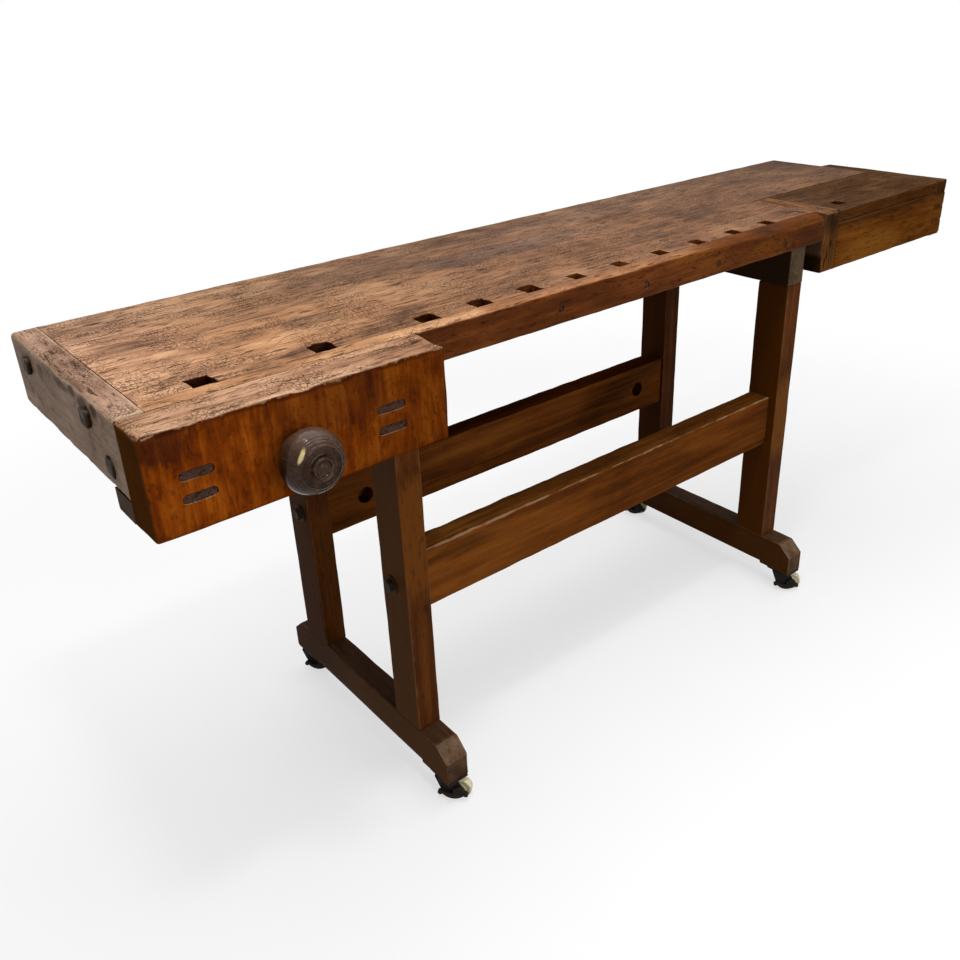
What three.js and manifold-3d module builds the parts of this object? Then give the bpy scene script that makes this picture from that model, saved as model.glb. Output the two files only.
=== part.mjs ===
// Antique woodworking bench with a front vise, a tail vise and a caster-mounted trestle stand.
// Millimetres. X runs along the bench from its left end, Y from its front face to the back.
// Z is up from the floor.
import * as THREE from 'three';
import { mergeVertices } from 'three/addons/utils/BufferGeometryUtils.js';
import Module from 'manifold-3d';

const wasm = await Module();
wasm.setup();

// Top
const BENCH_HEIGHT = 864;
const TOP_LENGTH = 1878;
const TOP_DEPTH = 443;
const TOP_THICK = 57;
const FIT = 0.3;
const RUN_GAP = 2;
const SEAM_ARRIS = 0.8;
const EDGE_ARRIS = 3;
const WORN_ARRIS = 8;

// Front board and dog plank
const BOARD_THICK = 27;
const LIP_LENGTH = 1446;
const DOG_SIDE = 33;
const DOG_BACK_WALL = 35;
const DOG_FIRST = 130;
const DOG_WIDE_PITCH = 179;
const DOG_WIDE_COUNT = 2;
const DOG_PITCH = 102;
const DOG_COUNT = 9;

// Left end cap
const CAP_THICK = 39;
const CAP_HEIGHT = 112;
const TONGUE_LENGTH = 18;
const TONGUE_THICK = 18;
const CAP_BOLT_FRONT_INSET = 8;
const CAP_BOLT_BACK_INSET = 83;
const CAP_BOLT_HEAD = 20;
const CAP_BOLT_PROUD = 8;
const CAP_BOLT_LENGTH = 96;
const CAP_LOW_BOLT_Y = 53;
const CAP_LOW_BOLT_RISE = 30;
const CAP_LOW_BOLT_LENGTH = 32;
const CAP_LOW_BOLT_SINK = 5;

// Front vise
const JAW_LENGTH = 440;
const JAW_THICK = 68;
const JAW_HEIGHT = 143;
const JAW_TOP_DROP = 1;
const CHEEK_THICK = 58;
const GUIDE_WIDTH = 46;
const GUIDE_HEIGHT = 50;
const GUIDE_LENGTH = 370;
const GUIDE_LEFT_INSET = 64;
const GUIDE_SPACING = 281;
const TENON_SIDE_SHOULDER = 0.5;
const TENON_HEIGHT = 12;
const TENON_SPACING = 31;
const TENON_LIFT = 2.5;
const SCREW_X = 199;
const SCREW_LENGTH = 330;
const KEEPER_SETBACK = 130;
const KEEPER_THICK = 30;
const KEEPER_FLOOR = 12;
const KEEPER_END = 24;

// Wooden screws, hubs, nuts and garters
const SCREW_R = 21;
const SCREW_RUN = 0.8;
const SPIGOT_R = 14;
const NECK_R = 15;
const GARTER_THICK = 10;
const GARTER_WIDTH = 62;
const GARTER_PRONG = 18;
const NUT_WIDTH = 96;
const NUT_LENGTH = 56;
const HUB_R = 44;
const HUB_LENGTH = 66;
const HUB_MIDDLE = 37;
const HUB_COLLAR_R = 28;
const HUB_COLLAR_LENGTH = 5;
const HUB_COVE_R = 25;
const HUB_SHOULDER_R = 29;
const HUB_BOSS_R = 15;
const HUB_RING_DEPTH = 2;
const HUB_SOCKET_R = 10;
const HUB_SOCKET_PAST = 12;

// Tail vise
const TAIL_LENGTH = 471;
const TAIL_GAP = 1;
const TAIL_WIDTH = 178;
const TAIL_HEIGHT = 123;
const TAIL_JAW_THICK = 48;
const TAIL_PLATE_THICK = 26;
const TAIL_RAIL_TENON = 20;
const TAIL_RAIL_TENON_THICK = 11;
const TAIL_END_WIDTH = 306;
const TAIL_DOG_OFFSET = 100;
const TAIL_SCREW_Y = 100;
const TAIL_NUT_SETBACK = 196;
const TAIL_GUIDE_WIDTH = 36;
const TAIL_GUIDE_HEIGHT = 40;
const TAIL_GUIDE_INSET = 6;
const TAIL_GUIDE_TENON = 24;
const TAIL_SCREW_TIP_GAP = 15;
const TAIL_KEEPER_WALL = 10;
const TAIL_COUNT = 3;
const TAIL_FLARE = 3.5;

// Trestles
const TRESTLE_LEFT = 422;
const TRESTLE_SPAN = 979;
const LEG_WIDTH = 46.5;
const LEG_DEPTH = 73;
const LEG_SETBACK = 24;
const LEG_SPAN = 323;
const LEG_TENON_THICK = 14;
const LEG_TENON_SHOULDER = 10;
const LEG_TENON_LENGTH = 40;
const BEARER_WIDTH = 48;
const BEARER_HEIGHT = 85;
const FOOT_HEIGHT = 72;
const FOOT_OVERHANG = 78;
const FOOT_REAR_OVERHANG = 62;
const FOOT_CHAMFER_RUN = 30;
const FOOT_CHAMFER_DROP = 27;
const FOOT_PAD_LENGTH = 74;
const FOOT_PAD_HEIGHT = 7;

// Stretchers and their bolts
const STRETCHER_HEIGHT = 112;
const STRETCHER_THICK = 50;
const STRETCHER_RISE = 360;
const STRETCHER_SETBACK = 18;
const STRETCHER_BACK_LIFT = 6;
const STUB_LENGTH = 10;
const STUB_SHOULDER = 11;
const BOLT_R = 5;
const BOLT_CLEAR = 0.6;
const BOLT_REACH = 96;
const BOLT_HEAD_R = 12;
const BOLT_HEAD_SIDES = 6;
const BOLT_HEAD_THICK = 8;
const WASHER_R = 17;
const WASHER_THICK = 2.5;
const POCKET_R = 17;
const POCKET_DEPTH = 32;
const POCKET_SETBACK = 83;

// Casters
const CASTER_HEIGHT = 53;
const PLATE_LENGTH = 56;
const PLATE_WIDTH = 42;
const PLATE_THICK = 3;
const PIN_R = 6;
const WHEEL_R = 21;
const WHEEL_WIDTH = 15;
const WHEEL_HUB_R = 9;
const WHEEL_DISH = 1.5;
const TREAD_ROUND = 3;
const AXLE_R = 4;
const CASTER_TRAIL = 20;
const CASTER_TURN = -50;
const FORK_CHEEK = 3;
const FORK_CHEEK_R = 9;
const FORK_CROWN = 5;
const FORK_CROWN_R = 22;
const FORK_REAR = 24;
const FORK_TAIL = 11;
const FORK_TAIL_RISE = 12;
const FORK_FRONT = 12;
const FORK_RUN = 1;
const LEVER_THICK = 6;
const LEVER_EYE_R = 11;
const LEVER_BAR = 5;
const LEVER_BEND_R = 23;
const LEVER_SWEEP = 1.08;
const LEVER_CURL_R = 4.5;
const LEVER_CURL_SHIFT = 3;
const LEVER_DROP = 13;
const LEVER_SHIFT = 11;

// Facets
const ROUND_FACETS = 24;
const SMALL_FACETS = 12;
const CORNER_FACETS = 2;
const MERGE_DISTANCE = 1e-4;

// Levels and lines that several pieces share
const topBottom = BENCH_HEIGHT - TOP_THICK;
const underTop = topBottom - FIT;
const plankFront = BOARD_THICK + FIT;
const plankBack = plankFront + DOG_SIDE + DOG_BACK_WALL;
const slabFront = plankBack + FIT;
const slabLeft = CAP_THICK + FIT;
const capBottom = BENCH_HEIGHT - CAP_HEIGHT;
const jawTop = BENCH_HEIGHT - JAW_TOP_DROP;
const jawBottom = jawTop - JAW_HEIGHT;
const jawFront = -FIT - JAW_THICK;
const viseZ = underTop - RUN_GAP - GUIDE_HEIGHT / 2;
const bearerBottom = underTop - BEARER_HEIGHT;
const footBottom = CASTER_HEIGHT;
const footTop = footBottom + FOOT_HEIGHT;
const legTop = bearerBottom - FIT;
const footFront = LEG_SETBACK - FOOT_OVERHANG;
const rearLegFront = LEG_SETBACK + LEG_SPAN;
const footBack = rearLegFront + LEG_DEPTH + FOOT_REAR_OVERHANG;
const tailLeft = LIP_LENGTH + TAIL_GAP;
const tailRight = tailLeft + TAIL_LENGTH;
const tailTop = BENCH_HEIGHT - JAW_TOP_DROP;
const tailBottom = tailTop - TAIL_HEIGHT;
const tailEndLeft = TOP_LENGTH + FIT;
const tailBack = TAIL_WIDTH - FIT;
const tailHollowLeft = tailLeft + TAIL_JAW_THICK;
const tailPlateBottom = tailTop - TAIL_PLATE_THICK;
const tailZ = underTop - RUN_GAP - SCREW_R - SCREW_RUN;
const trestles = { left: TRESTLE_LEFT, right: TRESTLE_LEFT + TRESTLE_SPAN };
const legs = { front: LEG_SETBACK, back: rearLegFront };
const guides = { left: GUIDE_LEFT_INSET, right: GUIDE_LEFT_INSET + GUIDE_SPACING };
const dogCentres = [];
for (let i = 0; i < DOG_WIDE_COUNT; i += 1) {
  dogCentres.push(DOG_FIRST + i * DOG_WIDE_PITCH);
}
for (let i = 0; i < DOG_COUNT; i += 1) {
  dogCentres.push(DOG_FIRST + DOG_WIDE_COUNT * DOG_WIDE_PITCH + i * DOG_PITCH);
}

// Materials
const material = (color, roughness, metalness = 0) =>
  new THREE.MeshStandardMaterial({ color, roughness, metalness, flatShading: true });
const topWood = material(0x7a4a2c, 0.6);
const jawWood = material(0x8a4a1c, 0.45);
const frameWood = material(0x5a3218, 0.55);
const turnedWood = material(0x3a241a, 0.35);
const tailWood = material(0x5e3d22, 0.55);
const iron = material(0x2a2624, 0.5, 0.8);
const creamWheel = material(0xcfc39a, 0.5);

// Shape helpers
const axisPair = { x: ['y', 'z'], y: ['z', 'x'], z: ['x', 'y'] };
const unit = { x: new THREE.Vector3(1, 0, 0), y: new THREE.Vector3(0, 1, 0), z: new THREE.Vector3(0, 0, 1) };

function closed(geometry) {
  const bare = new THREE.BufferGeometry();
  bare.setAttribute('position', geometry.getAttribute('position').clone());
  if (geometry.index) {
    bare.setIndex(geometry.index.clone());
  }
  const merged = mergeVertices(bare, MERGE_DISTANCE);
  const points = merged.getAttribute('position').array;
  const corner = (i) => new THREE.Vector3().fromArray(points, i * 3);
  const triangles = [];
  let volume = 0;
  for (let i = 0; i < merged.index.count; i += 3) {
    const [a, b, c] = [0, 1, 2].map((k) => merged.index.getX(i + k));
    if (a !== b && b !== c && c !== a) {
      triangles.push([a, b, c]);
      volume += corner(a).dot(corner(b).cross(corner(c)));
    }
  }
  const facing = volume < 0 ? triangles.map(([a, b, c]) => [a, c, b]) : triangles;
  return new wasm.Manifold(new wasm.Mesh({
    numProp: 3,
    vertProperties: new Float32Array(points),
    triVerts: new Uint32Array(facing.flat()),
  }));
}

function prism(axis, shape, from, to, facets = SMALL_FACETS) {
  const settings = { depth: to - from, bevelEnabled: false, curveSegments: facets / 2 };
  const geometry = new THREE.ExtrudeGeometry(shape, settings);
  const [u, v] = axisPair[axis];
  geometry.applyMatrix4(new THREE.Matrix4().makeBasis(unit[u], unit[v], unit[axis]));
  geometry.translate(...unit[axis].clone().multiplyScalar(from).toArray());
  return closed(geometry);
}

function box(x0, x1, y0, y1, z0, z1) {
  const geometry = new THREE.BoxGeometry(x1 - x0, y1 - y0, z1 - z0);
  geometry.translate((x0 + x1) / 2, (y0 + y1) / 2, (z0 + z1) / 2);
  return closed(geometry);
}

// Bar along one axis whose four long edges are rounded, in the order low-low, high-low, high-high, low-high
function bar(axis, [x0, x1], [y0, y1], [z0, z1], radii = [EDGE_ARRIS, EDGE_ARRIS, EDGE_ARRIS, EDGE_ARRIS]) {
  const spans = { x: [x0, x1], y: [y0, y1], z: [z0, z1] };
  const [[u0, u1], [v0, v1]] = axisPair[axis].map((name) => spans[name]);
  const [ll, hl, hh, lh] = radii;
  const shape = new THREE.Shape();
  shape.absarc(u0 + ll, v0 + ll, ll, Math.PI, Math.PI * 1.5);
  shape.absarc(u1 - hl, v0 + hl, hl, Math.PI * 1.5, Math.PI * 2);
  shape.absarc(u1 - hh, v1 - hh, hh, 0, Math.PI * 0.5);
  shape.absarc(u0 + lh, v1 - lh, lh, Math.PI * 0.5, Math.PI);
  return prism(axis, shape, ...spans[axis], CORNER_FACETS);
}

function disc(axis, radius, u, v, from, to, facets = ROUND_FACETS) {
  const shape = new THREE.Shape();
  shape.absarc(u, v, radius, 0, Math.PI * 2);
  return prism(axis, shape, from, to, facets);
}

// Round-ended slot or tenon, long along X, running in Y
function stadium(x, z, length, height, from, to) {
  const shape = new THREE.Shape();
  const reach = length / 2 - height / 2;
  shape.absarc(z, x + reach, height / 2, 0, Math.PI);
  shape.absarc(z, x - reach, height / 2, Math.PI, Math.PI * 2);
  return prism('y', shape, from, to, SMALL_FACETS / 2);
}

function turned(points, facets = ROUND_FACETS) {
  return closed(new THREE.LatheGeometry(points, facets));
}

const facingFront = (solid) => solid.rotate([180, 0, 0]);
const facingRight = (solid) => solid.rotate([0, 0, -90]);
const join = (first, ...others) => others.reduce((sum, other) => sum.add(other), first);
const cut = (first, ...others) => others.reduce((rest, other) => rest.subtract(other), first);

const bench = new THREE.Group();
bench.name = 'woodworking_bench';

function place(name, solid, look) {
  const mesh = solid.getMesh();
  const geometry = new THREE.BufferGeometry();
  geometry.setAttribute('position', new THREE.BufferAttribute(new Float32Array(mesh.vertProperties), 3));
  geometry.setIndex(new THREE.BufferAttribute(new Uint32Array(mesh.triVerts), 1));
  geometry.computeVertexNormals();
  const piece = new THREE.Mesh(geometry, look);
  piece.name = name;
  bench.add(piece);
}

// Top slab with its tongue in the end cap and the notch for the tail vise
const slabShape = new THREE.Shape();
slabShape.moveTo(slabLeft, slabFront);
slabShape.lineTo(LIP_LENGTH, slabFront);
slabShape.lineTo(LIP_LENGTH, TAIL_WIDTH);
slabShape.lineTo(TOP_LENGTH, TAIL_WIDTH);
slabShape.lineTo(TOP_LENGTH, TOP_DEPTH);
slabShape.lineTo(slabLeft, TOP_DEPTH);
slabShape.closePath();
const slabMiddle = topBottom + TOP_THICK / 2;
const tongueBox = (grow) => box(
  slabLeft - TONGUE_LENGTH - grow,
  slabLeft + TONGUE_LENGTH,
  slabFront - grow,
  TOP_DEPTH - TONGUE_LENGTH + grow,
  slabMiddle - TONGUE_THICK / 2 - grow,
  slabMiddle + TONGUE_THICK / 2 + grow,
);
const capBoltYs = [TOP_DEPTH - CAP_BOLT_BACK_INSET, slabFront + CAP_BOLT_FRONT_INSET];
const capBore = (y, z, length) => disc('x', BOLT_R + BOLT_CLEAR, y, z, -RUN_GAP, length + FIT, SMALL_FACETS);
const slab = join(prism('z', slabShape, topBottom, BENCH_HEIGHT), tongueBox(0));
const slabBores = capBoltYs.map((y) => capBore(y, slabMiddle, CAP_BOLT_LENGTH));
place('top_slab', cut(slab, ...slabBores), topWood);

// Dog plank: a comb of housings that the front board closes
const dogWell = (x, low, high) => box(
  x - DOG_SIDE / 2,
  x + DOG_SIDE / 2,
  BOARD_THICK,
  plankFront + DOG_SIDE,
  low,
  high,
);
const plank = bar(
  'x',
  [slabLeft, LIP_LENGTH],
  [plankFront, plankBack],
  [topBottom, BENCH_HEIGHT],
  [SEAM_ARRIS, SEAM_ARRIS, SEAM_ARRIS, SEAM_ARRIS],
);
const dogWells = dogCentres.map((x) => dogWell(x, jawBottom - RUN_GAP, BENCH_HEIGHT + RUN_GAP));
place('dog_plank', cut(plank, ...dogWells), topWood);

// Front board
place('front_board', bar(
  'x',
  [slabLeft, LIP_LENGTH],
  [0, BOARD_THICK],
  [topBottom, BENCH_HEIGHT],
  [EDGE_ARRIS, SEAM_ARRIS, SEAM_ARRIS, WORN_ARRIS],
), topWood);

// End cap, grooved for the tongue
const lowBoltZ = capBottom + CAP_LOW_BOLT_RISE;
const cap = bar(
  'y',
  [0, CAP_THICK],
  [0, TOP_DEPTH],
  [capBottom, BENCH_HEIGHT],
  [EDGE_ARRIS, WORN_ARRIS, SEAM_ARRIS, SEAM_ARRIS],
);
place('end_cap', cut(
  cap,
  tongueBox(FIT),
  ...slabBores,
  capBore(CAP_LOW_BOLT_Y, lowBoltZ, CAP_LOW_BOLT_LENGTH),
  disc('x', WASHER_R, CAP_LOW_BOLT_Y, lowBoltZ, -RUN_GAP, CAP_LOW_BOLT_SINK, SMALL_FACETS),
), topWood);

// End-cap bolts with square heads
function capBolt(y, z, face, length) {
  const half = CAP_BOLT_HEAD / 2;
  const head = box(face - CAP_BOLT_PROUD, face - FIT, y - half, y + half, z - half, z + half);
  return join(head, disc('x', BOLT_R, y, z, face - CAP_BOLT_PROUD, length, SMALL_FACETS));
}
capBoltYs.forEach((y, i) => {
  place(`end_cap_bolt_${i + 1}`, capBolt(y, slabMiddle, 0, CAP_BOLT_LENGTH), iron);
});
place('end_cap_bolt_low', capBolt(CAP_LOW_BOLT_Y, lowBoltZ, CAP_LOW_BOLT_SINK, CAP_LOW_BOLT_LENGTH), iron);

// Fixed cheek of the front vise, housed for the end cap, the bearer, the bars and the dog holes
const guideRun = (x) => box(
  x - GUIDE_WIDTH / 2 - RUN_GAP / 2,
  x + GUIDE_WIDTH / 2 + RUN_GAP / 2,
  -RUN_GAP,
  GUIDE_LENGTH,
  viseZ - GUIDE_HEIGHT / 2 - RUN_GAP / 2,
  BENCH_HEIGHT,
);
const guideRuns = Object.values(guides).map(guideRun);
const screwRun = disc('y', SCREW_R + SCREW_RUN, viseZ, SCREW_X, -JAW_THICK * 2, SCREW_LENGTH);
const cheek = bar(
  'x',
  [0, JAW_LENGTH],
  [0, CHEEK_THICK],
  [jawBottom, underTop],
  [EDGE_ARRIS, EDGE_ARRIS, SEAM_ARRIS, SEAM_ARRIS],
);
const bearerLeft = TRESTLE_LEFT - BEARER_WIDTH / 2;
place('front_cheek', cut(
  cheek,
  box(-RUN_GAP, GUIDE_LEFT_INSET, -RUN_GAP, TOP_DEPTH, capBottom - FIT, BENCH_HEIGHT),
  box(bearerLeft - FIT, TOP_LENGTH, LEG_SETBACK - FIT, TOP_DEPTH, 0, BENCH_HEIGHT),
  ...guideRuns,
  ...dogWells.slice(0, DOG_WIDE_COUNT),
  screwRun,
), topWood);

// Nut and keeper of the front vise, both fixed under the top
const nutBlock = (x, y0, y1) => bar(
  'y',
  [x - NUT_WIDTH / 2, x + NUT_WIDTH / 2],
  [y0, y1],
  [jawBottom + KEEPER_FLOOR, underTop],
);
const nutFront = Math.max(CHEEK_THICK, plankFront + DOG_SIDE) + FIT;
place('front_nut', cut(nutBlock(SCREW_X, nutFront, nutFront + NUT_LENGTH), screwRun), frameWood);
place('front_keeper', cut(
  bar(
    'x',
    [guides.left - GUIDE_WIDTH / 2 - RUN_GAP / 2 - FIT, guides.right + GUIDE_WIDTH / 2 + KEEPER_END],
    [KEEPER_SETBACK, KEEPER_SETBACK + KEEPER_THICK],
    [viseZ - GUIDE_HEIGHT / 2 - RUN_GAP / 2 - KEEPER_FLOOR, underTop],
  ),
  ...guideRuns,
  screwRun,
), frameWood);

// Moving jaw of the front vise
const tenonLength = GUIDE_WIDTH - 2 * TENON_SIDE_SHOULDER;
const tenonMiddle = viseZ + TENON_LIFT;
const tenonZs = [tenonMiddle - TENON_SPACING / 2, tenonMiddle + TENON_SPACING / 2];
const garterMiddle = -FIT - JAW_THICK / 2;
const garterTop = viseZ + GARTER_PRONG;
const garterSlot = box(
  SCREW_X - GARTER_WIDTH / 2 - FIT,
  SCREW_X + GARTER_WIDTH / 2 + FIT,
  garterMiddle - GARTER_THICK / 2 - FIT,
  garterMiddle + GARTER_THICK / 2 + FIT,
  jawBottom - RUN_GAP,
  garterTop + FIT,
);
const tenons = (x, grow, from, to) => tenonZs.map(
  (z) => stadium(x, z, tenonLength + 2 * grow, TENON_HEIGHT + 2 * grow, from, to),
);
const jaw = bar(
  'x',
  [0, JAW_LENGTH],
  [jawFront, -FIT],
  [jawBottom, jawTop],
  [WORN_ARRIS, EDGE_ARRIS, SEAM_ARRIS, WORN_ARRIS],
);
const jawSlots = Object.values(guides).flatMap((x) => tenons(x, FIT, jawFront - RUN_GAP, RUN_GAP));
place('front_jaw', cut(jaw, ...jawSlots, screwRun, garterSlot), jawWood);

// Guide bars, each with twin tenons through the jaw
Object.entries(guides).forEach(([side, x]) => {
  const body = bar(
    'y',
    [x - GUIDE_WIDTH / 2, x + GUIDE_WIDTH / 2],
    [0, GUIDE_LENGTH],
    [viseZ - GUIDE_HEIGHT / 2, viseZ + GUIDE_HEIGHT / 2],
    [SEAM_ARRIS, SEAM_ARRIS, SEAM_ARRIS, SEAM_ARRIS],
  );
  place(`front_guide_${side}`, join(body, ...tenons(x, 0, jawFront, EDGE_ARRIS)), turnedWood);
});

// Garter key: a fork pushed into a slot so that it straddles the neck of the screw
function garter(u, prongs) {
  const half = GARTER_WIDTH / 2;
  const shape = new THREE.Shape();
  shape.moveTo(prongs.foot, u - half);
  shape.lineTo(prongs.top, u - half);
  shape.lineTo(prongs.top, u - NECK_R - SCREW_RUN);
  shape.lineTo(prongs.axis, u - NECK_R - SCREW_RUN);
  shape.absarc(prongs.axis, u, NECK_R + SCREW_RUN, Math.PI * 1.5, Math.PI * 0.5, true);
  shape.lineTo(prongs.top, u + NECK_R + SCREW_RUN);
  shape.lineTo(prongs.top, u + half);
  shape.lineTo(prongs.foot, u + half);
  shape.closePath();
  return shape;
}
place('front_garter', prism(
  'y',
  garter(SCREW_X, { foot: jawBottom + FIT, top: garterTop, axis: viseZ }),
  garterMiddle - GARTER_THICK / 2,
  garterMiddle + GARTER_THICK / 2,
), frameWood);

// Turned screw: spigot for the hub, necked where the garter sits, measured outwards from its inner tip
const spigotLength = HUB_MIDDLE - HUB_SOCKET_R - EDGE_ARRIS - RUN_GAP;
function turnedScrew(tipToFace, neckFromFace) {
  const point = (r, y) => new THREE.Vector2(r, y);
  const neck = tipToFace - neckFromFace;
  const half = GARTER_THICK / 2 + SCREW_RUN;
  return turned([
    point(0, 0),
    point(SCREW_R - EDGE_ARRIS, 0),
    point(SCREW_R, EDGE_ARRIS),
    point(SCREW_R, neck - half),
    point(NECK_R, neck - half),
    point(NECK_R, neck + half),
    point(SCREW_R, neck + half),
    point(SCREW_R, tipToFace),
    point(SPIGOT_R, tipToFace),
    point(SPIGOT_R, tipToFace + spigotLength),
    point(0, tipToFace + spigotLength),
  ]);
}
const frontTip = SCREW_LENGTH - RUN_GAP;
place('front_screw', facingFront(turnedScrew(frontTip - jawFront, JAW_THICK / 2))
  .translate([SCREW_X, frontTip, viseZ]), turnedWood);

// Turned hub: collar, cove, ball with a flat ringed boss, and a socket for the tommy bar bored from below
function turnedHub() {
  const profile = new THREE.Path();
  const start = Math.acos(HUB_COVE_R / HUB_R);
  const finish = Math.acos(HUB_SHOULDER_R / HUB_R);
  const rear = (HUB_MIDDLE - HUB_COLLAR_LENGTH - HUB_RING_DEPTH) / Math.sin(start);
  const nose = (HUB_LENGTH - HUB_MIDDLE - 2 * HUB_RING_DEPTH) / Math.sin(finish);
  profile.moveTo(0, spigotLength + RUN_GAP);
  profile.lineTo(SPIGOT_R + FIT, spigotLength + RUN_GAP);
  profile.lineTo(SPIGOT_R + FIT, 0);
  profile.lineTo(HUB_COLLAR_R - HUB_RING_DEPTH, 0);
  profile.lineTo(HUB_COLLAR_R, HUB_RING_DEPTH);
  profile.lineTo(HUB_COLLAR_R, HUB_COLLAR_LENGTH - HUB_RING_DEPTH);
  profile.lineTo(HUB_COVE_R, HUB_COLLAR_LENGTH);
  for (let i = 0; i <= SMALL_FACETS; i += 1) {
    const angle = -start + (start + finish) * (i / SMALL_FACETS);
    const rise = angle < 0 ? rear : nose;
    profile.lineTo(HUB_R * Math.cos(angle), HUB_MIDDLE + rise * Math.sin(angle));
  }
  profile.lineTo(HUB_BOSS_R + 2 * HUB_RING_DEPTH, HUB_LENGTH - HUB_RING_DEPTH);
  profile.lineTo(HUB_BOSS_R, HUB_LENGTH - 2 * HUB_RING_DEPTH);
  profile.lineTo(HUB_BOSS_R, HUB_LENGTH - HUB_RING_DEPTH);
  profile.lineTo(HUB_BOSS_R - HUB_RING_DEPTH, HUB_LENGTH);
  profile.lineTo(HUB_BOSS_R / 2 + HUB_RING_DEPTH / 2, HUB_LENGTH);
  profile.lineTo(HUB_BOSS_R / 2, HUB_LENGTH - HUB_RING_DEPTH);
  profile.lineTo(HUB_RING_DEPTH, HUB_LENGTH - HUB_RING_DEPTH / 2);
  profile.lineTo(0, HUB_LENGTH);
  return turned(profile.getPoints());
}
const hubSocket = (x, y, z) => disc(
  'z',
  HUB_SOCKET_R,
  x,
  y,
  z - HUB_R * 2,
  z + HUB_SOCKET_PAST,
  SMALL_FACETS,
);
const hubFront = jawFront - FIT;
place('front_hub', cut(
  facingFront(turnedHub()).translate([SCREW_X, hubFront, viseZ]),
  hubSocket(SCREW_X, hubFront - HUB_MIDDLE, viseZ),
), turnedWood);

// Tail vise: jaw block with a mortise for the front rail
const railTop = tailPlateBottom - FIT;
const railTenon = (grow) => box(
  tailHollowLeft - TAIL_RAIL_TENON - grow,
  tailHollowLeft + TAIL_RAIL_TENON,
  BOARD_THICK / 2 - TAIL_RAIL_TENON_THICK / 2 - grow,
  BOARD_THICK / 2 + TAIL_RAIL_TENON_THICK / 2 + grow,
  tailBottom + TAIL_RAIL_TENON - grow,
  railTop - TAIL_RAIL_TENON + grow,
);
place('tail_jaw', cut(
  bar(
    'z',
    [tailLeft, tailHollowLeft - FIT],
    [0, tailBack],
    [tailBottom, tailTop],
    [EDGE_ARRIS, SEAM_ARRIS, SEAM_ARRIS, EDGE_ARRIS],
  ),
  railTenon(FIT),
), tailWood);

// Front rail, dovetailed through the end piece at its right end
const railHeight = railTop - tailBottom;
function dovetails(grow, reach) {
  const tails = [];
  for (let i = 0; i < TAIL_COUNT; i += 1) {
    const z = tailBottom + railHeight * ((i + 0.5) / TAIL_COUNT);
    const root = railHeight / TAIL_COUNT / 2 - 2 * TAIL_FLARE;
    const shape = new THREE.Shape();
    shape.moveTo(z - root - grow, tailEndLeft - EDGE_ARRIS);
    shape.lineTo(z + root + grow, tailEndLeft - EDGE_ARRIS);
    shape.lineTo(z + root + TAIL_FLARE + grow, tailRight + reach);
    shape.lineTo(z - root - TAIL_FLARE - grow, tailRight + reach);
    shape.closePath();
    tails.push(prism('y', shape, grow > 0 ? -RUN_GAP : 0, BOARD_THICK + grow));
  }
  return tails;
}
const rail = bar(
  'x',
  [tailHollowLeft, TOP_LENGTH],
  [0, BOARD_THICK],
  [tailBottom, railTop],
  [EDGE_ARRIS, SEAM_ARRIS, SEAM_ARRIS, SEAM_ARRIS],
);
place('tail_rail', join(rail, railTenon(0), ...dovetails(0, 0)), tailWood);

// Top plate with its own dog hole
const tailDogX = tailLeft + TAIL_DOG_OFFSET;
place('tail_plate', cut(
  bar(
    'x',
    [tailHollowLeft, TOP_LENGTH],
    [0, tailBack],
    [tailPlateBottom, tailTop],
    [SEAM_ARRIS, SEAM_ARRIS, SEAM_ARRIS, WORN_ARRIS],
  ),
  dogWell(tailDogX, 0, BENCH_HEIGHT),
), tailWood);

// End piece, wrapping the right end of the top
const tailScrewRun = disc(
  'x',
  SCREW_R + SCREW_RUN,
  TAIL_SCREW_Y,
  tailZ,
  tailHollowLeft,
  tailRight + HUB_LENGTH,
);
const tailGarterMiddle = (tailEndLeft + tailRight) / 2;
const tailGarterTop = tailZ + GARTER_PRONG;
const tailGuideY = [TAIL_END_WIDTH - TAIL_GUIDE_INSET - TAIL_GUIDE_WIDTH, TAIL_END_WIDTH - TAIL_GUIDE_INSET];
const tailGuideZ = [underTop - RUN_GAP - TAIL_GUIDE_HEIGHT, underTop - RUN_GAP];
const tailGuideTenon = (grow) => box(
  tailEndLeft - EDGE_ARRIS,
  tailEndLeft + TAIL_GUIDE_TENON + grow,
  tailGuideY[0] + TAIL_GUIDE_INSET - grow,
  tailGuideY[1] - TAIL_GUIDE_INSET + grow,
  tailGuideZ[0] + TAIL_GUIDE_INSET - grow,
  tailGuideZ[1] - TAIL_GUIDE_INSET + grow,
);
place('tail_end', cut(
  bar(
    'y',
    [tailEndLeft, tailRight],
    [0, TAIL_END_WIDTH],
    [tailBottom, tailTop],
    [SEAM_ARRIS, SEAM_ARRIS, EDGE_ARRIS, EDGE_ARRIS],
  ),
  ...dovetails(FIT, RUN_GAP),
  tailScrewRun,
  tailGuideTenon(FIT),
  box(
    tailGarterMiddle - GARTER_THICK / 2 - FIT,
    tailGarterMiddle + GARTER_THICK / 2 + FIT,
    TAIL_SCREW_Y - GARTER_WIDTH / 2 - FIT,
    TAIL_SCREW_Y + GARTER_WIDTH / 2 + FIT,
    tailBottom - RUN_GAP,
    tailGarterTop + FIT,
  ),
), tailWood);

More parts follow.
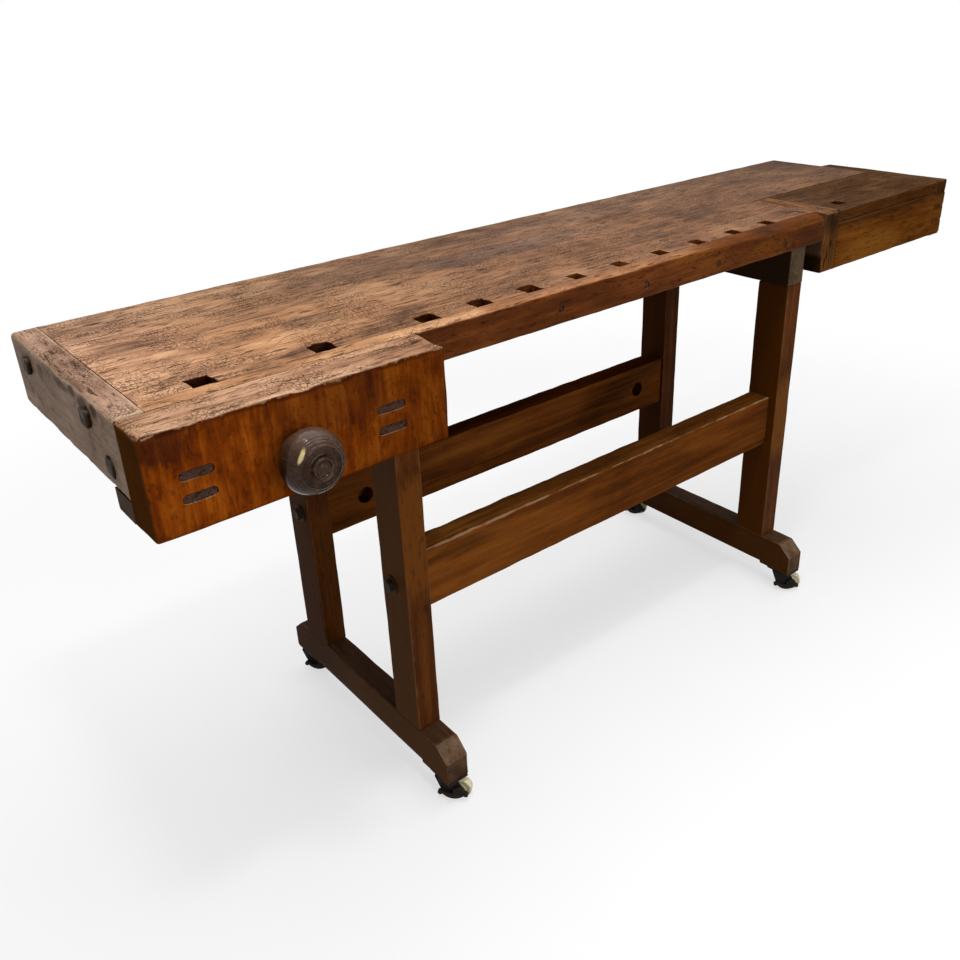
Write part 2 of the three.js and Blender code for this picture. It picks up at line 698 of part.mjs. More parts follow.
// Tail guide bar, garter, screw and hub
const bearerRight = trestles.right + BEARER_WIDTH / 2;
const tailReach = Math.max(tailHollowLeft, bearerRight) + TAIL_SCREW_TIP_GAP;
place('tail_guide', join(
  bar(
    'x',
    [tailReach, tailEndLeft - FIT],
    tailGuideY,
    tailGuideZ,
    [SEAM_ARRIS, SEAM_ARRIS, SEAM_ARRIS, SEAM_ARRIS],
  ),
  tailGuideTenon(0),
), frameWood);
const tailGarterShape = garter(TAIL_SCREW_Y, { foot: tailBottom + FIT, top: tailGarterTop, axis: tailZ });
const tailGarter = prism('y', tailGarterShape, -GARTER_THICK / 2, GARTER_THICK / 2);
place('tail_garter', tailGarter.rotate([0, 0, 90])
  .translate([tailGarterMiddle, 0, 0]), frameWood);
place('tail_screw', facingRight(turnedScrew(tailRight - tailReach, tailRight - tailGarterMiddle))
  .translate([tailReach, TAIL_SCREW_Y, tailZ]), turnedWood);
const tailHubLeft = tailRight + FIT;
place('tail_hub', cut(
  facingRight(turnedHub()).translate([tailHubLeft, TAIL_SCREW_Y, tailZ]),
  hubSocket(tailHubLeft + HUB_MIDDLE, TAIL_SCREW_Y, tailZ),
), turnedWood);

// Nut and keeper of the tail vise, both fixed under the top
const tailNutLeft = tailHollowLeft + TAIL_NUT_SETBACK;
const tailNutRight = tailNutLeft + NUT_LENGTH;
const keeperFront = tailGuideY[0] - RUN_GAP / 2 - TAIL_KEEPER_WALL;
place('tail_nut', cut(
  bar(
    'x',
    [tailNutLeft, tailNutRight],
    [TAIL_SCREW_Y - NUT_WIDTH / 2, keeperFront - FIT],
    [tailBottom + EDGE_ARRIS, underTop],
  ),
  tailScrewRun,
), frameWood);
place('tail_keeper', cut(
  bar(
    'x',
    [tailNutLeft, tailNutRight],
    [keeperFront, tailGuideY[1] + RUN_GAP / 2 + TAIL_KEEPER_WALL],
    [tailGuideZ[0] - RUN_GAP / 2 - TAIL_KEEPER_WALL, underTop],
  ),
  box(
    tailNutLeft - RUN_GAP,
    tailNutRight + RUN_GAP,
    tailGuideY[0] - RUN_GAP / 2,
    tailGuideY[1] + RUN_GAP / 2,
    tailGuideZ[0] - RUN_GAP / 2,
    BENCH_HEIGHT,
  ),
), frameWood);

// Feet with chamfered ends, end pads and mortises for the legs
const legTenon = (x, y, z, grow) => box(
  x - LEG_TENON_THICK / 2 - grow,
  x + LEG_TENON_THICK / 2 + grow,
  y + LEG_TENON_SHOULDER - grow,
  y + LEG_DEPTH - LEG_TENON_SHOULDER + grow,
  z - LEG_TENON_LENGTH - grow,
  z + LEG_TENON_LENGTH + grow,
);
const footShape = new THREE.Shape();
footShape.moveTo(footFront, footBottom);
footShape.lineTo(footFront + FOOT_PAD_LENGTH, footBottom);
footShape.lineTo(footFront + FOOT_PAD_LENGTH + EDGE_ARRIS, footBottom + FOOT_PAD_HEIGHT);
footShape.lineTo(footBack - FOOT_PAD_LENGTH - EDGE_ARRIS, footBottom + FOOT_PAD_HEIGHT);
footShape.lineTo(footBack - FOOT_PAD_LENGTH, footBottom);
footShape.lineTo(footBack, footBottom);
footShape.lineTo(footBack, footTop - FOOT_CHAMFER_DROP);
footShape.lineTo(footBack - FOOT_CHAMFER_RUN, footTop);
footShape.lineTo(footFront + FOOT_CHAMFER_RUN, footTop);
footShape.lineTo(footFront, footTop - FOOT_CHAMFER_DROP);
footShape.closePath();

// Stretchers and the bolts that draw them to the legs
const stretcherBottom = (y) => STRETCHER_RISE + (y === legs.front ? 0 : STRETCHER_BACK_LIFT);
const stretcherTop = (y) => stretcherBottom(y) + STRETCHER_HEIGHT;
const boltZ = (y) => stretcherBottom(y) + STRETCHER_HEIGHT / 2;
const backSetback = LEG_DEPTH - STRETCHER_SETBACK - STRETCHER_THICK;
const stretcherFront = (y) => y + (y === legs.front ? STRETCHER_SETBACK : backSetback);
const innerLeft = trestles.left + LEG_WIDTH / 2 + FIT;
const innerRight = trestles.right - LEG_WIDTH / 2 - FIT;
const stub = (x, y, grow) => box(
  x - STUB_LENGTH - grow,
  x + STUB_LENGTH + grow,
  stretcherFront(y) + STUB_SHOULDER - grow,
  stretcherFront(y) + STRETCHER_THICK - STUB_SHOULDER + grow,
  stretcherBottom(y) + STUB_SHOULDER - grow,
  stretcherTop(y) - STUB_SHOULDER + grow,
);
const boltY = (y) => stretcherFront(y) + STRETCHER_THICK / 2;
const boltBore = (y) => [
  disc('x', BOLT_R + BOLT_CLEAR, boltY(y), boltZ(y), 0, innerLeft + BOLT_REACH, SMALL_FACETS),
  disc('x', BOLT_R + BOLT_CLEAR, boltY(y), boltZ(y), innerRight - BOLT_REACH, TOP_LENGTH, SMALL_FACETS),
];

Object.entries(trestles).forEach(([side, x]) => {
  const foot = prism('x', footShape, x - LEG_WIDTH / 2, x + LEG_WIDTH / 2);
  const mortises = Object.values(legs).map((y) => legTenon(x, y, footTop, FIT));
  place(`foot_${side}`, cut(foot, ...mortises), frameWood);

  const bearer = bar(
    'y',
    [x - BEARER_WIDTH / 2, x + BEARER_WIDTH / 2],
    [LEG_SETBACK, rearLegFront + LEG_DEPTH],
    [bearerBottom, underTop],
  );
  const bearerMortises = Object.values(legs).map((y) => legTenon(x, y, legTop, FIT));
  place(`bearer_${side}`, cut(bearer, ...bearerMortises), frameWood);

  Object.entries(legs).forEach(([end, y]) => {
    const legWide = [x - LEG_WIDTH / 2, x + LEG_WIDTH / 2];
    const post = bar('z', legWide, [y, y + LEG_DEPTH], [footTop + FIT, legTop]);
    const stubX = side === 'left' ? innerLeft : innerRight;
    place(`leg_${side}_${end}`, cut(
      join(post, legTenon(x, y, footTop, 0), legTenon(x, y, legTop, 0)),
      stub(stubX, y, FIT),
      ...boltBore(y),
    ), frameWood);

    const outward = side === 'left' ? -1 : 1;
    const face = x + outward * (LEG_WIDTH / 2 + FIT);
    const washerFace = face + outward * WASHER_THICK;
    const headFace = washerFace + outward * BOLT_HEAD_THICK;
    const tip = x - outward * (LEG_WIDTH / 2 + BOLT_REACH - RUN_GAP);
    const along = (radius, end1, end2, facets) => {
      const [from, to] = [Math.min(end1, end2), Math.max(end1, end2)];
      return disc('x', radius, boltY(y), boltZ(y), from, to, facets);
    };
    place(`stretcher_bolt_${side}_${end}`, join(
      along(WASHER_R, face, washerFace, SMALL_FACETS),
      along(BOLT_HEAD_R, face, headFace, BOLT_HEAD_SIDES),
      along(BOLT_R, face, tip, SMALL_FACETS),
    ), iron);
  });
});

Object.entries(legs).forEach(([end, y]) => {
  const front = stretcherFront(y);
  const back = front + STRETCHER_THICK;
  const body = bar('x', [innerLeft, innerRight], [front, back], [stretcherBottom(y), stretcherTop(y)]);
  const inner = end === 'front' ? back - POCKET_DEPTH : front - RUN_GAP;
  const deep = inner + POCKET_DEPTH + RUN_GAP;
  const pocket = (x) => disc('y', POCKET_R, boltZ(y), x, inner, deep, SMALL_FACETS);
  place(`stretcher_${end}`, cut(
    join(body, stub(innerLeft, y, 0), stub(innerRight, y, 0)),
    pocket(innerLeft + POCKET_SETBACK),
    pocket(innerRight - POCKET_SETBACK),
    ...boltBore(y),
  ), frameWood);
});

// Casters: fixed plate with a pin, swivelling hooded fork with its axle, wheel and brake lever
const plateTop = CASTER_HEIGHT - FIT;
const plateBottom = plateTop - PLATE_THICK;
const crownTop = plateBottom - FORK_RUN;
const crownBottom = crownTop - FORK_CROWN;
const casterYs = { front: footFront + PLATE_LENGTH / 2, back: footBack - PLATE_LENGTH / 2 };
const cheekInner = WHEEL_WIDTH / 2 + FORK_RUN;
const cheekOuter = cheekInner + FORK_CHEEK;
const leverInner = cheekOuter + FIT;
const leverOuter = leverInner + LEVER_THICK;

function forkCheek(x) {
  const shape = new THREE.Shape();
  shape.moveTo(crownTop, x - FORK_REAR);
  shape.lineTo(FORK_TAIL_RISE, x - FORK_TAIL);
  shape.lineTo(WHEEL_R - FORK_CHEEK_R, x + CASTER_TRAIL);
  shape.absarc(WHEEL_R, x + CASTER_TRAIL, FORK_CHEEK_R, Math.PI, Math.PI * 0.5, true);
  shape.lineTo(crownTop, x + FORK_FRONT);
  shape.closePath();
  return shape;
}

function forkBack(x) {
  const shape = new THREE.Shape();
  shape.moveTo(crownTop, x - FORK_REAR);
  shape.lineTo(FORK_TAIL_RISE, x - FORK_TAIL);
  shape.lineTo(FORK_TAIL_RISE, x - FORK_TAIL + FORK_CHEEK);
  shape.lineTo(crownTop, x - FORK_REAR + FORK_CHEEK);
  shape.closePath();
  return shape;
}

function brakeLever(x, y) {
  const bend = WHEEL_R - LEVER_DROP + LEVER_BEND_R;
  const middle = x - LEVER_SHIFT;
  const arm = new THREE.Shape();
  const half = LEVER_BAR / 2;
  arm.absarc(bend, middle, LEVER_BEND_R + half, Math.PI - LEVER_SWEEP, Math.PI + LEVER_SWEEP);
  arm.absarc(bend, middle, LEVER_BEND_R - half, Math.PI + LEVER_SWEEP, Math.PI - LEVER_SWEEP, true);
  arm.closePath();
  const from = y - leverOuter;
  const to = y - leverInner;
  const curls = [-1, 1].map((sign) => disc(
    'y',
    LEVER_CURL_R,
    bend - LEVER_BEND_R * Math.cos(LEVER_SWEEP) - LEVER_CURL_SHIFT,
    middle + sign * (LEVER_BEND_R * Math.sin(LEVER_SWEEP) + LEVER_CURL_SHIFT),
    from,
    to,
    SMALL_FACETS,
  ));
  const eye = disc('y', LEVER_EYE_R, WHEEL_R, x, from, to, SMALL_FACETS);
  const lever = join(prism('y', arm, from, to), eye, ...curls);
  return cut(lever, disc('y', AXLE_R + SCREW_RUN / 2, WHEEL_R, x, from - FIT, to + FIT, SMALL_FACETS));
}

function casterWheel(x, y) {
  const point = (r, along) => new THREE.Vector2(r, along);
  const half = WHEEL_WIDTH / 2;
  const bore = AXLE_R + SCREW_RUN / 2;
  const wheel = turned([
    point(bore, -half),
    point(WHEEL_HUB_R, -half),
    point(WHEEL_HUB_R + WHEEL_DISH, -half + WHEEL_DISH),
    point(WHEEL_R - TREAD_ROUND - WHEEL_DISH, -half + WHEEL_DISH),
    point(WHEEL_R - TREAD_ROUND, -half),
    point(WHEEL_R, -half + TREAD_ROUND),
    point(WHEEL_R, half - TREAD_ROUND),
    point(WHEEL_R - TREAD_ROUND, half),
    point(WHEEL_R - TREAD_ROUND - WHEEL_DISH, half - WHEEL_DISH),
    point(WHEEL_HUB_R + WHEEL_DISH, half - WHEEL_DISH),
    point(WHEEL_HUB_R, half),
    point(bore, half),
    point(bore, -half),
  ]);
  return wheel.translate([x, y, WHEEL_R]);
}

Object.entries(trestles).forEach(([side, x]) => {
  Object.entries(casterYs).forEach(([end, y]) => {
    const axleX = x + CASTER_TRAIL;
    const name = `caster_${side}_${end}`;
    const swivelled = (solid) => solid
      .translate([-x, -y, 0])
      .rotate([0, 0, CASTER_TURN])
      .translate([x, y, 0]);
    const plate = box(
      x - PLATE_WIDTH / 2,
      x + PLATE_WIDTH / 2,
      y - PLATE_LENGTH / 2,
      y + PLATE_LENGTH / 2,
      plateBottom,
      plateTop,
    );
    place(`${name}_plate`, join(plate, disc('z', PIN_R, x, y, crownBottom, plateTop, SMALL_FACETS)), iron);

    const crown = disc('z', FORK_CROWN_R, x, y, crownBottom, crownTop);
    const cheekPlate = (from, to) => prism('y', forkCheek(x), from, to);
    const axleFrom = y - leverOuter - FORK_RUN;
    const axleTo = y + cheekOuter + FORK_RUN;
    const fork = cut(
      join(
        crown,
        cheekPlate(y - cheekOuter, y - cheekInner),
        cheekPlate(y + cheekInner, y + cheekOuter),
        prism('y', forkBack(x), y - cheekOuter, y + cheekOuter),
        disc('y', AXLE_R, WHEEL_R, axleX, axleFrom, axleTo, SMALL_FACETS),
      ),
      disc('z', PIN_R + SCREW_RUN / 2, x, y, 0, CASTER_HEIGHT, SMALL_FACETS),
    );
    place(`${name}_fork`, swivelled(fork), iron);
    place(`${name}_wheel`, swivelled(casterWheel(axleX, y)), creamWheel);
    place(`${name}_brake`, swivelled(brakeLever(axleX, y)), iron);
  });
});

// The origin sits on the floor under the middle of the whole bench
const leftmost = -CAP_BOLT_PROUD;
const rightmost = tailRight + FIT + HUB_LENGTH;
const frontmost = jawFront - FIT - HUB_LENGTH;
bench.position.set(-(leftmost + rightmost) / 2, -(frontmost + footBack) / 2, 0);
const model = new THREE.Group();
model.name = 'bench_with_vises';
model.add(bench);
export default model;
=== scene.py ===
import math

import bmesh
import bpy
from mathutils import Matrix, Vector, noise


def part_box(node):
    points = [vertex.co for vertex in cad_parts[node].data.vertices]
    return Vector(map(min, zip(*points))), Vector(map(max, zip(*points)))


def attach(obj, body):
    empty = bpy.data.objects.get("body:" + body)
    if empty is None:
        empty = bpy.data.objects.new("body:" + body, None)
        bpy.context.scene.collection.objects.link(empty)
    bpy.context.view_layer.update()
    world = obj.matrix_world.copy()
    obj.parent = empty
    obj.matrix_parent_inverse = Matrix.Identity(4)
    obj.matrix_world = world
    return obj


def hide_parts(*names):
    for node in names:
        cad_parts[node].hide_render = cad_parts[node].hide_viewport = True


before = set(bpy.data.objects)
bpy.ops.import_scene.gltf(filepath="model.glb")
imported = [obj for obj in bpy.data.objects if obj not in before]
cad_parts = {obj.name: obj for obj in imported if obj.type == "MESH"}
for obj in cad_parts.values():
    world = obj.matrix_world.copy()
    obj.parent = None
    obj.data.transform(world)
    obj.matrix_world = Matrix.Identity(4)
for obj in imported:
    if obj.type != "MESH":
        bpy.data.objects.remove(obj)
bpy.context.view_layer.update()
mm = 0.001
fit = 0.3 * mm  # gap left between pieces that are made apart
overrun = 20.0 * mm  # how far a cutter runs past what it cuts
beyond = 10.0 * mm  # how far a box of painted shade reaches past the wood
axisNames = "xyz"
sides = ("left", "right")
ends = ("front", "back")
scene = bpy.context.scene
print("frame loaded,", len(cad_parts), "CAD pieces")


class Wire:  # one socket of a shader: sums and products on it add Math nodes
    def __init__(self, tree, socket=None):
        self.tree = tree
        self.socket = socket

    def node(self, kind, settings, sockets, out=0):
        made = self.tree.nodes.new(kind)
        for key, value in settings.items():
            if key == "stops":
                layStops(made.color_ramp, value)
            else:
                setattr(made, key, value)
        for key, value in sockets.items():
            if isinstance(value, Wire):
                self.tree.links.new(value.socket, made.inputs[key])
            else:
                made.inputs[key].default_value = value
        return Wire(self.tree, made.outputs[out] if len(made.outputs) else None)

    def math(self, operation, first, second=0.0):
        return self.node("ShaderNodeMath", {"operation": operation}, {0: first, 1: second})

    def __add__(self, other):
        return self.math("ADD", self, other)

    def __radd__(self, other):
        return self.math("ADD", other, self)

    def __sub__(self, other):
        return self.math("SUBTRACT", self, other)

    def __rsub__(self, other):
        return self.math("SUBTRACT", other, self)

    def __mul__(self, other):
        return self.math("MULTIPLY", self, other)

    def __rmul__(self, other):
        return self.math("MULTIPLY", other, self)

    def remap(self, low, high, toLow=0.0, toHigh=1.0):
        limits = {0: self, 1: low, 2: high, 3: toLow, 4: toHigh}
        return self.node("ShaderNodeMapRange", {"interpolation_type": "SMOOTHSTEP"}, limits)

    def blend(self, low, high, how="MIX"):  # this mask chooses between two colours
        settings = {"data_type": "RGBA", "blend_type": how}
        return self.node("ShaderNodeMix", settings, {0: self, 6: low, 7: high}, 2)

    def scaled(self, factors):
        return self.node("ShaderNodeVectorMath", {"operation": "MULTIPLY"}, {0: self, 1: factors})

    def moved(self, offset):
        return self.node("ShaderNodeVectorMath", {"operation": "ADD"}, {0: self, 1: offset})

    def length(self):
        return self.node("ShaderNodeVectorMath", {"operation": "LENGTH"}, {0: self}, 1)

    def turned(self, axis, angle):
        settings = {"rotation_type": axis + "_AXIS"}
        return self.node("ShaderNodeVectorRotate", settings, {"Vector": self, "Angle": angle})

    def place(self, kind="Object"):
        return self.node("ShaderNodeTexCoord", {}, {}, kind)

    def marked(self, name):  # a value that the mesh carries at its points
        return self.node("ShaderNodeAttribute", {"attribute_name": name}, {}, "Fac")

    def part(self, axis):
        return self.node("ShaderNodeSeparateXYZ", {}, {0: self}, axisNames.index(axis))

    def cloud(self, detail=3.0, rough=0.6, twist=0.0):
        look = {"Vector": self, "Scale": 1.0, "Detail": detail, "Roughness": rough, "Distortion": twist}
        return self.node("ShaderNodeTexNoise", {}, look, 0)

    def cracks(self):
        settings = {"feature": "DISTANCE_TO_EDGE"}
        return self.node("ShaderNodeTexVoronoi", settings, {"Vector": self, "Scale": 1.0}, 0)


def layStops(ramp, stops):
    while len(ramp.elements) < len(stops):
        ramp.elements.new(1.0)
    for element, (position, colour) in zip(ramp.elements, stops):
        element.position = position
        element.color = tone(colour)


def tone(colour):
    return (colour[0], colour[1], colour[2], 1.0)


def startFinish(name):
    material = bpy.data.materials.new(name)
    material.use_nodes = True
    tree = material.node_tree
    tree.nodes.clear()
    return material, Wire(tree)


def closeFinish(sheet, shader):
    sheet.node("ShaderNodeOutputMaterial", {}, {"Surface": shader})


def paint(material, sheet, sockets, strength, depth, height):
    bump = sheet.node("ShaderNodeBump", {}, {"Strength": strength, "Distance": depth, "Height": height})
    closeFinish(sheet, sheet.node("ShaderNodeBsdfPrincipled", {}, {**sockets, "Normal": bump}))
    return material


# One layer of old wood: drifting colour, grain streaks, pores, dashes and crackled varnish
woodDefaults = {
    "grain": "x", "patch": 7.0, "patchStretch": 0.45, "streak": 60.0, "streakStretch": 0.06,
    "contrast": 1.0, "streakShare": 0.45, "fibre": 0.35, "fibreScale": 900.0, "fibreStretch": 0.035,
    "fleck": 0.5, "fleckScale": 190.0, "fleckStretch": 0.2, "crackle": 0.0, "crackleScale": 150.0,
    "crackleStretch": 0.55, "scratch": 0.0, "wear": 0.6, "worn": (0.42, 0.27, 0.16), "rough": 0.5,
    "seed": 0.0, "drifts": (), "stainAndLightSpots": (), "edgeGrime": 0.0, "paintedShadeAmount": 0.92,
}


def drift(axis, low, high, colour, ragged=0.25, amount=1.0, how="MULTIPLY"):  # slow change of tone one way
    return {"axis": axis, "low": low, "high": high, "colour": colour, "ragged": ragged, "amount": amount,
            "how": how}


def stainOrLightSpot(at, size, colour, amount, lean=0.0, rag=1.0):  # ragged spot, perhaps tipped in the front plane
    return {"at": at, "size": size, "colour": colour, "amount": amount, "lean": lean, "rag": rag}


def woodLayer(place, wear, grime, settings):
    look = {**woodDefaults, **settings}
    along = axisNames.index(look["grain"])

    def stretched(across, ratio, shift=0.0):
        factors = [across] * 3
        factors[along] = across * ratio
        return place.scaled(factors).moved((look["seed"] + shift,) * 3)

    def darker(share):
        return tone([v * share for v in look["dark"]])

    patches = stretched(look["patch"], look["patchStretch"]).cloud(5.0, 0.62, 0.4)
    streaks = stretched(look["streak"], look["streakStretch"], 3.1).cloud(4.0, 0.6, 0.3)
    fibres = stretched(look["fibreScale"], look["fibreStretch"], 5.7).cloud(2.0, 0.5)
    dashes = stretched(look["fleckScale"], look["fleckStretch"], 8.3).cloud(2.0, 0.55)
    share, spread = look["streakShare"], 2.2 * look["contrast"]
    mixed = (patches - 0.5) * ((1.0 - share) * spread) + (streaks - 0.5) * (share * spread) + 0.5
    stops = ((0.12, look["dark"]), (0.5, look["mid"]), (0.88, look["light"]))
    colour = mixed.node("ShaderNodeValToRGB", {"stops": stops}, {0: mixed})
    for one in look["drifts"]:
        level = place.part(one["axis"]) + (patches - 0.5) * one["ragged"]
        mask = level.remap(one["low"], one["high"]) * one["amount"]
        colour = mask.blend(colour, tone(one["colour"]), one["how"])
    for one in look["stainAndLightSpots"]:
        reach = place.moved([-v for v in one["at"]])
        if one["lean"]:
            reach = reach.turned("Y", one["lean"])
        far = reach.scaled([1.0 / v for v in one["size"]]).length()
        far = far + (streaks - 0.5) * (1.2 * one["rag"]) + (patches - 0.5) * (1.5 * one["rag"])
        colour = (far.remap(0.55, 1.1, 1.0, 0.0) * one["amount"]).blend(colour, tone(one["colour"]))
    pores = fibres.remap(0.5, 0.72) * look["fibre"]
    colour = pores.blend(colour, tone(look["dark"]))
    flecks = dashes.remap(0.57, 0.67) * look["fleck"]
    colour = flecks.blend(colour, darker(0.55))
    height = pores * -0.35 - flecks * 0.8 + patches * 0.8
    if look["crackle"]:
        bent = stretched(look["crackleScale"], look["crackleStretch"], 1.7)
        ripple = stretched(look["crackleScale"] * 0.6, 1.0, 2.3).cloud(2.0, 0.6)
        lines = bent.moved(ripple).cracks().remap(0.02, 0.13, 1.0, 0.0)
        area = stretched(18.0, 0.6, 4.4).cloud(3.0, 0.6).remap(0.36, 0.6)
        split = lines * area * look["crackle"]
        colour = split.blend(colour, darker(0.6))
        height = height - split * 1.2
    if look["scratch"]:  # two sets of strokes that cross
        strokes = ((0.5, (9.0, 620.0, 50.0), 0.7), (-0.7, (8.0, 560.0, 50.0), 0.71))
        one, other = [place.turned("Z", angle).scaled(size).cloud(1.0, 0.5).remap(low, low + 0.06)
                      for angle, size, low in strokes]
        lines = (one + other) * look["scratch"]
        colour = lines.blend(colour, darker(0.5))
        height = height - lines * 0.8
    rubbed = (wear + (dashes - 0.5) * 0.9 + (patches - 0.5) * 0.9).remap(0.5, 0.85) * look["wear"]
    if look["edgeGrime"]:
        border = (wear + (patches - 0.5) * 1.4).remap(0.12, 0.5) * look["edgeGrime"]
        colour = border.blend(colour, darker(0.5))
    colour = rubbed.blend(colour, tone(look["worn"]))
    # Painted shade where the mesh is marked: in the seams between parts and down the dog wells
    paintedShade = (grime + (dashes - 0.5) * 0.5).remap(0.25, 0.75) * look["paintedShadeAmount"]
    colour = paintedShade.blend(colour, darker(0.25))
    rough = look["rough"] + (streaks - 0.5) * 0.25 + rubbed * 0.2 + flecks * 0.15
    return colour, rough, height


def woodFinish(name, sidesLook, topLook=None, paintedLeftShade=None, gloss=None):
    gloss = {"specular": 0.02, "bump": 0.35, **(gloss or {})}
    material, sheet = startFinish(name)
    place, facing = sheet.place(), sheet.place("Normal")
    wear, grime = sheet.marked("wear"), sheet.marked("grime")
    colour, rough, height = woodLayer(place, wear, grime, sidesLook)
    if paintedLeftShade:  # painted shade: faces turned to the left end are darkened
        turned = (0.0 - facing.part("x")).remap(0.5, 0.85) * paintedLeftShade["amount"]
        # the painted shade colour, darker towards the right trestle and on the pieces at the back
        dull = place.part("x").remap(-0.3, 0.3).blend(tone(paintedLeftShade["near"]), tone(paintedLeftShade["far"]))
        dull = place.part("y").remap(0.05, 0.2).blend(dull, tone(paintedLeftShade["back"]), "MULTIPLY")
        if "below" in paintedLeftShade:  # in the dark under the top
            lit = place.part("z").remap(paintedLeftShade["below"] - 0.006, paintedLeftShade["below"] + 0.006)
            dull = lit.blend(tone(paintedLeftShade["unlit"]), dull)
        colour = turned.blend(colour, dull)
        rough = rough + turned * 0.12
    if topLook:  # upper faces carry the work and lose their varnish
        up = facing.part("z").remap(0.55, 0.85)
        topColour, topRough, topHeight = woodLayer(place, wear, grime, topLook)
        colour = up.blend(colour, topColour)
        rough = rough + (topRough - rough) * up
        height = height + (topHeight - height) * up
    sockets = {"Base Color": colour, "Roughness": rough, "Specular IOR Level": gloss["specular"]}
    return paint(material, sheet, sockets, gloss["bump"], 0.0012, height)


topLook = {
    "grain": "x", "dark": (0.08, 0.036, 0.018), "mid": (0.385, 0.19, 0.09),
    "light": (0.62, 0.35, 0.18), "patch": 11.0, "patchStretch": 0.55, "streak": 85.0,
    "streakStretch": 0.1, "streakShare": 0.4, "contrast": 1.05, "fibre": 0.4, "fleck": 0.85,
    "fleckScale": 170.0, "fleckStretch": 0.16, "crackle": 0.85, "crackleScale": 170.0,
    "crackleStretch": 0.9, "scratch": 0.9, "paintedShadeAmount": 0.7, "wear": 0.55, "worn": (0.6, 0.4, 0.25),
    # Painted light: lighter at the left end, darker towards the right end and the back, as the light falls
    # off
    "drifts": (
        drift("x", -0.72, -0.92, (1.12, 1.17, 1.35), 0.3),
        drift("x", -0.85, -0.15, (0.53, 0.5, 0.51), 0.5),
        drift("x", 0.1, 0.9, (0.64, 0.6, 0.5), 0.5),
        drift("y", 0.0, 0.25, (0.86, 0.92, 1.0), 0.2),
    ),
    "stainAndLightSpots": (
        stainOrLightSpot((-0.12, 0.09, 0.864), (0.22, 0.05, 0.2), (0.09, 0.06, 0.05), 0.5),
        stainOrLightSpot((-0.42, 0.16, 0.864), (0.16, 0.06, 0.2), (0.1, 0.055, 0.035), 0.45),
        stainOrLightSpot((0.15, 0.19, 0.864), (0.3, 0.04, 0.2), (0.12, 0.07, 0.05), 0.4),
        stainOrLightSpot((-0.63, -0.02, 0.864), (0.06, 0.03, 0.2), (0.1, 0.055, 0.03), 0.4),
    ),
}
plainTop = {**topLook, "drifts": (), "stainAndLightSpots": ()}
boardLook = {
    "grain": "x", "dark": (0.038, 0.0091, 0.0025), "mid": (0.114, 0.0315, 0.0068),
    "light": (0.245, 0.077, 0.0135), "patch": 9.0, "patchStretch": 0.5, "streak": 70.0,
    "streakStretch": 0.08, "fibre": 0.3, "fleck": 0.55, "fleckStretch": 0.3, "wear": 0.7,
    "worn": (0.5, 0.3, 0.17), "rough": 0.42, "seed": 4.0,
    "drifts": (drift("x", -0.05, 0.4, (0.78, 0.74, 0.4)),),
}
boardEdgeLook = {
    **plainTop, "crackle": 0.4, "seed": 16.0, "wear": 0.45,
    "drifts": (drift("x", -0.43, -0.4, (0.66, 0.57, 0.52), 0.05),
               drift("x", 0.0, 0.16, (0.4, 0.24, 0.04), 0.2)),
}
dentBrown = (0.03, 0.018, 0.012)
capSideLook = {
    "grain": "y", "dark": (0.144, 0.085, 0.058), "mid": (0.372, 0.243, 0.163),
    "light": (0.55, 0.384, 0.273), "patch": 14.0, "patchStretch": 0.6, "streak": 80.0,
    "fibre": 0.4, "fleck": 0.4, "fleckScale": 60.0, "crackle": 0.3,
    "fleckStretch": 0.5, "wear": 0.35, "worn": (0.42, 0.32, 0.24), "seed": 7.0,
    "stainAndLightSpots": (
        stainOrLightSpot((-0.988, -0.1, 0.852), (0.03, 0.02, 0.012), dentBrown, 0.85),
        stainOrLightSpot((-0.988, -0.055, 0.846), (0.03, 0.026, 0.014), dentBrown, 0.85),
        stainOrLightSpot((-0.988, -0.015, 0.854), (0.03, 0.018, 0.01), dentBrown, 0.8),
        stainOrLightSpot((-0.988, 0.035, 0.85), (0.03, 0.038, 0.011), (0.04, 0.023, 0.015), 0.75),
        stainOrLightSpot((-0.988, 0.13, 0.84), (0.03, 0.016, 0.014), (0.06, 0.035, 0.022), 0.6),
        stainOrLightSpot((-0.988, -0.13, 0.78), (0.03, 0.03, 0.03), (0.1, 0.06, 0.04), 0.5),
    ),
}
capTopLook = {**plainTop, "grain": "y", "seed": 9.0, "mid": (0.31, 0.18, 0.12), "light": (0.5, 0.32, 0.22)}
jawLook = {
    "grain": "z", "dark": (0.043, 0.008, 0.0024), "mid": (0.19, 0.0365, 0.0026),
    "light": (0.36, 0.09, 0.006), "patch": 13.0, "patchStretch": 0.7, "streak": 110.0,
    "streakStretch": 0.12, "streakShare": 0.35, "contrast": 1.2, "fibre": 0.15, "fleck": 0.35,
    "fleckScale": 120.0, "fleckStretch": 0.7, "wear": 0.5, "worn": (0.42, 0.24, 0.12),
    "rough": 0.3, "seed": 2.0, "edgeGrime": 0.75,
    "drifts": (drift("x", -0.85, -0.55, (0.72, 0.78, 0.95)),),
    "stainAndLightSpots": (
        stainOrLightSpot((-0.965, -0.24, 0.845), (0.045, 0.05, 0.03), (0.05, 0.012, 0.005), 0.65),
        stainOrLightSpot((-0.74, -0.24, 0.83), (0.12, 0.05, 0.05), (0.05, 0.014, 0.005), 0.35),
    ),
}
jawTopLook = {**plainTop, "seed": 5.0, "mid": (0.34, 0.18, 0.105), "light": (0.58, 0.36, 0.22),
              "wear": 0.7, "worn": (0.6, 0.4, 0.26)}
